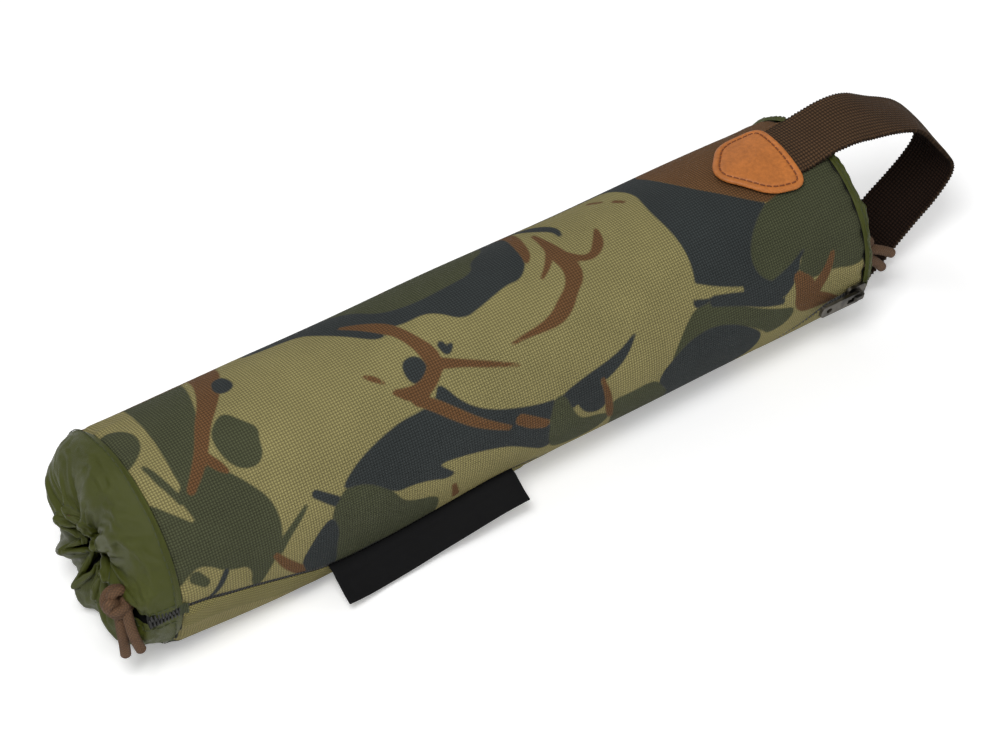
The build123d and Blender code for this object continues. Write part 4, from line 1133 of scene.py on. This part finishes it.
thread_green = thread_material("olive thread", colour(62, 68, 40))
# A seam thread, made near black as painted shade for the groove at each seam.
seam_thread_painted_shade = thread_material("seam thread, dark as painted shade", colour(30, 30, 22), 0.8)
for end, plan in CUFFS.items():
    side = plan["side"]
    rows = []
    for row in (SEAM_ROW * BAND_ROWS / plan["band"], BAND_ROWS - 0.5):
        for start in np.arange(1.5, CUFF_COLUMNS - 2.5, DASH_STEP):
            rows.append([cuff_spot(end, row, start), cuff_spot(end, row, start + DASH_ROUND)])
    for column in (SLIT_COLUMN, CUFF_COLUMNS - SLIT_COLUMN):
        for start in np.arange(2.0, BAND_ROWS - 1.5, DASH_STEP):
            rows.append([cuff_spot(end, start, column), cuff_spot(end, start + DASH_DOWN, column)])
    dashes(f"{end}_cuff_stitches", rows, thread_green, "cover", "cuff_nylon")
    # The cord in the casing is thin where the cloth hides it, and near full size where it comes out.
    inside = (Vector(plan["stitch"]) + Vector(plan["lip"])) / 2 + Vector((plan["swell"] * 0.3, 0))
    hem, sizes = [], []
    casing_rows = range(BAND_ROWS + 1, BAND_ROWS + CASING_ROWS)
    for column in range(3, CUFF_COLUMNS - 2, 2):
        loop = [cuff_points[end][cuff_grid[row][column]] for row in casing_rows]
        hem.append(sum(loop, Vector()) / len(loop))
        out = max(0, 1 - min(column, CUFF_COLUMNS - column) / OUT_COLUMNS)
        sizes.append(CORD_RADIUS * (HIDDEN_SHARE + OUT_SHARE * out))
    hem_cord = new_object(f"{end}_elastic_in_hem", tube_mesh(hem, sizes), cord_brown)
    dress(hem_cord, "cover", "elastic_cord", f"{end}_hem_cord")
    level = AXIS_Z - KNOT_BELOW - (NEAR_NECK_DROP if end == "near" else 0)
    strands = []
    for back_in in (1.0, 4.6):
        run = [Vector((side * (HALF + (inside.x - further - back_in) * MM), y * MM, level))
               for further, y in ((5, -17.0), (2, -17.4), (0, -19.0))]
        run.append(knot_middle(side) + KNOT_SHIFT[end] + Vector((-side * 1.5, 1.5, 0)) * MM)
        strands.append(tube_mesh(nurbs_route(run, 16), CORD_RADIUS * NECK_SHARE))
    neck = new_object(f"{end}_cord_neck", joined(*strands), cord_brown)
    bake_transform(neck)
    past = 0 if side < 0 else LENGTH
    # The seam's cord is a real seam thread, coloured near black as painted shade in the groove between the
    # fabrics.
    ring = [cloth_point(past, math.radians(angle), -SEAM_SUNK) for angle in range(0, 360, 3)]
    seam = new_object(f"{end}_seam_line", tube_mesh(ring, SEAM_RADIUS, sides=8, closed=True), seam_thread_painted_shade)
    dress(seam, "cover", "cuff_nylon")

# %% [markdown]
# ## The zip
#
# The zip is sewn in with its coil turned inwards, so from outside there is only a dark line between
# two folded edges. Below the line runs a strip of the same fabric, laid the other way, that faces the
# tape. At the open end the coil shows in the slit. Each coil is a flattened helix, as the real one is.

# %% Strips that follow the zip's line


def zip_point(past, across, out):
    """A point beside the zip's line: across is upwards round the tube, and out is from the cloth."""
    angle = zip_angle(min(max(past, 0), LENGTH)) + across / RADIUS
    return cloth_point(past, angle, out)


def strip_mesh(start, end, low, high, columns, rows, out, crown=0.0):
    """A strip along the zip from start to end, in mm past the seam, and from low to high across it."""

    def place(u, v):
        across = (low + (high - low) * v) * MM
        return zip_point(start + (end - start) * u, across, (out + crown * math.sin(math.pi * v)) * MM)

    def flat(u, v):
        return (start + (end - start) * u) * MM, (low + (high - low) * v) * MM

    return cloth_grid(columns, rows, place, flat)


tape_black = woven("dark zip tape", colour(40, 40, 36), (0.5 * MM, 0.5 * MM), roughness=0.85, shade=0.4)
for side, low, high in (("upper", 1.6, 12.0), ("lower", -12.0, -1.6)):
    tape = new_object(f"zip_tape_{side}_cloth", strip_mesh(0.5, LENGTH, low, high, 150, 6, -1.7), tape_black)
    dress(thicken(tape, 0.5 * MM), "cover", "zip_tape", f"zip_tape_{side}")
facing_cloth = woven("khaki facing", colour(140, 132, 82), (0.9 * MM, 0.9 * MM), roughness=0.85, shade=0.5,
                      depth=0.3 * MM, turn=38, Specular_IOR_Level=0.25)
FACING_END = 142.0          # mm past the near seam
facing_mesh = strip_mesh(0.3, FACING_END, -12.0, -0.25, 120, 12, 0.05, 0.35)
facing = new_object("zip_facing", facing_mesh, facing_cloth)
dress(soften(thicken(facing, 0.5 * MM)), "cover", "camouflage_fabric")

backing = new_object("zip_backing", strip_mesh(-12.5, 1.0, -2.6, 2.6, 12, 4, -0.75), tape_black)
dress(thicken(backing, 0.4 * MM), "cover", "zip_tape")

# %% The coils
COIL_PITCH, COIL_STEPS = 1.25, 10          # mm, and points in one turn
COIL_START = -12.0                         # mm past the near seam, inside the slit
# In mm: how far each row's middle is from the zip's line, and half its turns' width and height.
COIL_APART, COIL_WIDE, COIL_HIGH = 0.85, 1.1, 0.45
coil_plastic, coil_shade, coil_shader, _, coil_place = new_material("dark coil", 0.45)
coil_faded = placed(coil_shade, fade, Colour=colour(40, 40, 38), Place=coil_place, Scale=300.0, Amount=0.3)
fill(coil_shade, coil_shader, Base_Color=coil_faded.outputs["Colour"])
for side, sign in (("upper", 1), ("lower", -1)):
    line = []
    for step in range(int((LENGTH - COIL_START) / COIL_PITCH * COIL_STEPS)):
        turn = 2 * math.pi * step / COIL_STEPS
        past = COIL_START + COIL_PITCH * step / COIL_STEPS + sign * 0.25 * COIL_PITCH
        across = sign * (COIL_APART - COIL_WIDE * math.cos(turn)) * MM
        lift = -0.95 + 0.9 * clamped((1.5 - past) / 2) + COIL_HIGH * math.sin(turn)
        line.append(zip_point(past + 0.25 * math.cos(turn), across, lift * MM))
    coil = new_object(f"zip_coil_{side}_row", tube_mesh(line, 0.4 * MM, sides=6), coil_plastic)
    dress(coil, "cover", "zip_coil", f"zip_coil_{side}")

# %% The crimps that stop the slider at the strap end
crimps = []
for across in (-0.95, 0.95):
    for past in (LENGTH - 2.2, LENGTH - 1.5):
        hoop = ((across - 0.75, -0.5), (across, -0.1), (across + 0.75, -0.5))
        crimps.append([zip_point(past, sideways * MM, out * MM) for sideways, out in hoop])
stops = dashes("zip_stop_crimps", crimps, coil_plastic, "cover", "zip_metal", 0.5 * MM)
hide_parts("zip_top_stops")

# %% The tack across the zip's end
box = []
for past in np.arange(0.0, 3.2, 0.55):
    box.append([zip_point(past - 1.2, across * MM, 0.5 * MM) for across in (-2.2, 0.0, 2.2)])
dashes("zip_end_tack", box, thread_green, "cover", "cuff_nylon", 0.28 * MM)

# %% [markdown]
# ## The webbing loop
#
# One length of webbing is sewn on top of the sleeve, goes out past the end, round, and back in under
# the tube. Webbing bends in one direction only, so it is a grid swept along a smooth line, with its
# width across. Its edges are scalloped, because every cross thread turns back there.

# %% Webbing
STRAP_MIDDLE = -2 * MM
STRAP_HALF = 12.4 * MM
RIB = 1.2 * MM
SCALLOP, BOW, RIPPLE = 0.28 * MM, 0.7 * MM, 0.5 * MM
STRAP_LINE = [
    (117, 75.8), (126, 75.8), (137, 75.8), (148, 76.2), (158, 77.2), (169, 75.2), (180, 70.4), (191, 65.0),
    (202, 53.0), (211, 39.5), (202, 28.0), (186, 16.5), (172, 3.4), (161, 1.2), (152, 1.3), (143, 1.9),
    (137, 2.0),
]
# How far the webbing is turned about its own line, in radians, at these mm along it.
STRAP_TWIST = [
    (0, 0), (25, 0.05), (38, 0.15), (52, 0.15), (62, 0.02), (72, -0.03), (85, 0.15), (100, 0.12), (125, 0),
]
strap_route = nurbs_route([(x * MM, 0, z * MM) for x, z in STRAP_LINE], 12)
strap_steps = distances(strap_route)
STRAP_LENGTH = strap_steps[-1]
strap_x, strap_z = [point.x for point in strap_route], [point.z for point in strap_route]
STRAP_COLUMNS = round(STRAP_LENGTH / RIB * 4)


def strap_place(distance):
    """The x and z of the webbing's line at a distance along it."""
    return [float(np.interp(distance, strap_steps, run)) for run in (strap_x, strap_z)]


def strap_spot(distance):
    """The place and the outward direction at a distance along the webbing's line."""
    place, ahead, behind = (strap_place(distance + step) for step in (0, 1e-4, -1e-4))
    run = Vector((ahead[0] - behind[0], 0, ahead[1] - behind[1])).normalized()
    return Vector((place[0], STRAP_MIDDLE, place[1])), Vector((-run.z, 0, run.x))


def place_webbing(u, v):
    distance = u * STRAP_LENGTH
    spot, out = strap_spot(distance)
    edge = 2 * v - 1
    scallop = SCALLOP * math.cos(2 * math.pi * distance / (RIB * 1.2)) * abs(edge) ** 8
    past = spot.x - HALF if distance < STRAP_LENGTH / 2 else spot.z - 2 * MM
    free = clamped(past / 0.02)
    twist = -along(STRAP_TWIST, distance / MM) * free
    bow = BOW * (edge**2 - 0.4) * free
    wave = RIPPLE * noise.noise(Vector((distance * 45, edge * 1.3, 3))) * free
    wide = (STRAP_HALF + scallop) * edge
    point = spot + Vector((0, wide * math.cos(twist), 0)) - out * (wide * math.sin(twist) + bow - wave)
    if spot.z > 2 * AXIS_Z - 1 * MM and spot.x < HALF + 2 * MM:
        base = RADIUS + 1.1 * MM
        rest = on_tube(spot.x, math.pi / 2 + (STRAP_MIDDLE + wide) / base, base)
        point = point.lerp(rest, clamped((HALF + 2 * MM - spot.x) / 0.012))
    return point


# Shade here is the painted shade between the webbing's ribs, with painted light on their crowns.
RIBS = {"pitch": (RIB, RIB * 1.2), "shade": 0.75, "depth": 0.45 * MM}
webbing = woven("brown webbing", colour(84, 62, 42), roughness=0.85, Specular_IOR_Level=0.2, **RIBS)
# The webbing's back face is painted much darker: painted shade for the shadow inside the loop.
webbing_back_painted_shade = woven(
    "brown webbing, back in painted shade", colour(38, 25, 18), roughness=0.9, Specular_IOR_Level=0.1, **RIBS)
strap = new_object(
    "webbing_loop",
    cloth_grid(STRAP_COLUMNS, 20, place_webbing, lambda u, v: (u * STRAP_LENGTH, v * 2 * STRAP_HALF)),
    webbing,
)
strap.data.materials.append(webbing_back_painted_shade)
thicken(strap, 1.4 * MM, 0.0).modifiers["wall"].material_offset = 1
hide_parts("strap_loop", "strap_anchor_top", "strap_anchor_bottom")
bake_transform(strap)
print("webbing", round(STRAP_LENGTH / MM), "mm long,", len(strap.data.polygons), "faces")

# %% [markdown]
# ## The leather patch
#
# A moulded patch of tan leather covers the end of the webbing. Its rim is rounded and a groove runs
# round it for the stitches. The outline is drawn once as a polygon with rounded corners, then inset
# step by step, and each step gets its own height over the tube.

# %% Patch outline
PATCH_END = 131.6 * MM
PATCH_CORNERS = [
    ((-33.0, 0.3), 9), ((-17.5, -16.5), 17), ((-2.0, -19.6), 6), ((0.8, 15.8), 6), ((-18.6, 16.0), 15),
]
PATCH_BASE = 39.9 * MM


def filleted(corners, steps=12):
    """A polygon with each corner rounded to its radius, by a curve from one side to the other."""
    line = []
    for number, (corner, radius) in enumerate(corners):
        here = Vector(corner)
        before = (Vector(corners[number - 1][0]) - here).normalized()
        after = (Vector(corners[(number + 1) % len(corners)][0]) - here).normalized()
        half = before.angle(after) / 2
        reach = radius / math.tan(half)
        for step in range(steps + 1):
            share = step / steps
            start, end = here + before * reach, here + after * reach
            line.append(start * (1 - share) ** 2 + here * 2 * share * (1 - share) + end * share**2)
    return line


def evenly(line, count):
    """The same closed line, with so many points at even distances."""
    loop = line + line[:1]
    steps = distances(loop)
    marks = np.linspace(0, steps[-1], count, endpoint=False)
    return [Vector([float(np.interp(mark, steps, [point[axis] for point in loop])) for axis in (0, 1)])
            for mark in marks]


outline = evenly(filleted(PATCH_CORNERS), 180)
centre = sum(outline, Vector((0, 0))) / len(outline)
inwards = []
for number, point in enumerate(outline):
    run = outline[(number + 1) % len(outline)] - outline[number - 1]
    normal = Vector((-run.y, run.x)).normalized()
    inwards.append(normal if normal.dot(centre - point) > 0 else -normal)


def on_patch(spot, height):
    angle = math.pi / 2 + (STRAP_MIDDLE + spot.y * MM) / (PATCH_BASE + MM)
    return on_tube(PATCH_END + spot.x * MM, angle, PATCH_BASE + height * MM)


# Each step of the section: how far in from the edge, and the height above the patch's underside.
PATCH_SECTION = [
    (0.5, -0.1), (0.1, 0.0), (0.0, 0.35), (0.05, 0.75), (0.3, 1.1), (0.75, 1.3), (1.4, 1.36), (1.9, 1.3),
    (2.2, 1.1), (2.45, 0.85), (2.7, 0.85), (2.95, 1.05), (3.3, 1.22), (4.0, 1.3),
]
PATCH_FIELD = [0.15, 0.35, 0.55, 0.75, 0.9, 1.0]


def patch_step(number, around):
    around = around % len(outline)
    inset, height = PATCH_SECTION[min(number, len(PATCH_SECTION) - 1)]
    spot = outline[around] + inwards[around] * inset
    if number >= len(PATCH_SECTION):
        share = PATCH_FIELD[number - len(PATCH_SECTION)]
        spot = spot.lerp(centre, share)
        height += 0.22 * share
    return spot, height


patch_rows = len(PATCH_SECTION) + len(PATCH_FIELD) - 1
patch_mesh = cloth_grid(
    len(outline),
    patch_rows,
    lambda u, v: on_patch(*patch_step(round(v * patch_rows), round(u * len(outline)))),
    lambda u, v: patch_step(round(v * patch_rows), round(u * len(outline)))[0] * MM,
)
mend(patch_mesh, 0.01 * MM)

# %% Leather
leather_made = new_material("tan leather", 0.5, Specular_IOR_Level=0.4)
leather, leather_tree, leather_shader, _, leather_place = leather_made
pores = noise_at(leather_tree, leather_place, 700.0, 4.0)
TAN = colour(188, 112, 50)
tan_faded = placed(leather_tree, fade, Colour=TAN, Place=leather_place, Scale=110.0, Amount=0.16)
tan_light = remap(leather_tree, pores, 0.3, 0.7, 0.88, 1.08)
tan = shaded(leather_tree, tan_faded.outputs["Colour"], tan_light)
fill(leather_tree, leather_shader, Base_Color=tan)
grain = cells_at(leather_tree, leather_place, 1500.0)
creases = calculate(leather_tree, "MULTIPLY_ADD", pores, 0.7, grain)
bump(leather_tree, leather_shader, creases, 0.08 * MM)
patch = new_object("leather_patch", patch_mesh, leather)
dress(soften(patch), "cover", "patch_leather", "patch")

# %% Patch stitches
PATCH_STITCHES = 36
GROOVE, THREAD_HEIGHT = 2.57, 0.98    # mm in from the edge, and over the patch's underside
seam_line = [point + inward * GROOVE for point, inward in zip(outline, inwards)]
seam_line = evenly(seam_line, PATCH_STITCHES * 10)
rows = []
for start in range(0, len(seam_line), 10):
    rows.append([on_patch(seam_line[(start + step) % len(seam_line)], THREAD_HEIGHT) for step in (0, 3, 6)])
thread_rust = thread_material("rust thread", colour(122, 66, 30))
patch_thread = dashes("patch_thread", rows, thread_rust, "cover", "patch_thread", 0.3 * MM)
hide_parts("patch_stitches")

# %% [markdown]
# ## The side label
#
# A plain black woven label is caught in the zip's seam and lies outwards and down. It is one folded
# strip, so it is twice as thick as a single weave, with a fold along its lower edge.

# %% Label
LABEL_START, LABEL_END = 58.4, 135.4
LABEL_DEEP = [(0, 15.4), (0.3, 14.6), (0.6, 13.6), (1, 13.0)]
LABEL_LEAN = [(0, 40), (0.3, 42), (0.7, 38), (1, 34)]


def place_label(u, v):
    past = LABEL_START + (LABEL_END - LABEL_START) * u
    top = zip_point(past, -0.1 * MM, -0.4 * MM)
    deep = along(LABEL_DEEP, u) * v
    lean = math.radians(along(LABEL_LEAN, u)) * min(1, 0.25 + v * 2.2)
    wave = 0.7 * math.sin(2 * math.pi * (1.4 * u + 0.15)) * v + 0.3 * math.sin(2 * math.pi * 3.3 * u) * v * v
    out = Vector((0, -math.cos(lean), -math.sin(lean)))
    off = Vector((0, -math.sin(lean), math.cos(lean)))
    slide = Vector((0.06 * deep * MM, 0, 0))
    belly = 0.5 * math.sin(math.pi * min(1, v * 1.5))
    return rest_on_floor(top + (out * deep + off * (wave + belly)) * MM + slide, 0.9 * MM)


label_cloth = woven("black woven label", colour(9, 9, 11), (0.32 * MM, 0.32 * MM), roughness=0.7, shade=0.5,
                    depth=0.06 * MM, Specular_IOR_Level=0.2)
label = new_object(
    "woven_label",
    cloth_grid(110, 26, place_label, lambda u, v: ((LABEL_END - LABEL_START) * u * MM, 16 * v * MM)),
    label_cloth,
)
soften(thicken(label, 0.7 * MM, 0.0))
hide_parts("label")
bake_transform(label)

# %% [markdown]
# ## Foam and metal
#
# The slider, its pull tab and the bottom stop keep their CAD shapes, because those are right. The foam
# is a copy of its CAD shape, pressed flatter at the strap end, where the cuff pulls it in. Then both
# only need finishes: closed-cell foam is matt and speckled with cells, and the zip's parts are dark
# cast metal, brighter where hands rub them.

# %% Foam
foam_skin, foam_tree, foam_shader, _, foam_place = new_material("black foam", 0.9)
cells = cells_at(foam_tree, foam_place, 1400.0)
foam_shade = remap(foam_tree, cells, 0.1, 0.7)
foam_colour = mixed(foam_tree, foam_shade, colour(38, 38, 40), colour(24, 24, 26))
fill(foam_tree, foam_shader, Base_Color=foam_colour)
bump(foam_tree, foam_shader, cells, 0.12 * MM)
foam_mesh = bmesh.new()
foam_mesh.from_mesh(bpy.data.objects["foam_core"].data)
bmesh.ops.remove_doubles(foam_mesh, verts=foam_mesh.verts, dist=0.01 * MM)
FLAT_FROM = HALF - 2 * MM
press = (HALF + FOAM_PAST[1] - FLAT_FROM) / (foam_high.x - FLAT_FROM)
for vertex in foam_mesh.verts:
    if vertex.co.x > FLAT_FROM:
        vertex.co.x = FLAT_FROM + (vertex.co.x - FLAT_FROM) * press
foam = dress(new_object("pressed_foam", foam_mesh, foam_skin), "cover", "core_foam", "foam_core")
for face in foam.data.polygons:
    face.use_smooth = False

# %% Zip metal
zip_metal, metal_tree, metal_shader, _, metal_place = new_material("dark zip metal", 0.38, Metallic=1.0)
metal_worn = noise_at(metal_tree, metal_place, 260.0, 4.0)
metal_rubbed = remap(metal_tree, metal_worn, 0.4, 0.7)
metal_colour = mixed(metal_tree, metal_rubbed, colour(74, 72, 68), colour(120, 116, 108))
metal_gloss = remap(metal_tree, metal_worn, 0.3, 0.7, 0.3, 0.5)
fill(metal_tree, metal_shader, Base_Color=metal_colour, Roughness=metal_gloss)
for name in ("zip_stop_crimps", "zip_slider", "zip_pull_tab", "zip_bottom_stop"):
    repaint(bpy.data.objects[name], zip_metal)

# %% [markdown]
# ## Sizes and finish
#
# The visual model may stand a little proud of the CAD model, as cloth does. The visual model's box
# is printed in mm.

# %% Finish
low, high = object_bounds()
print("visual box in mm", [round(value / MM, 1) for value in (*low, *high)])
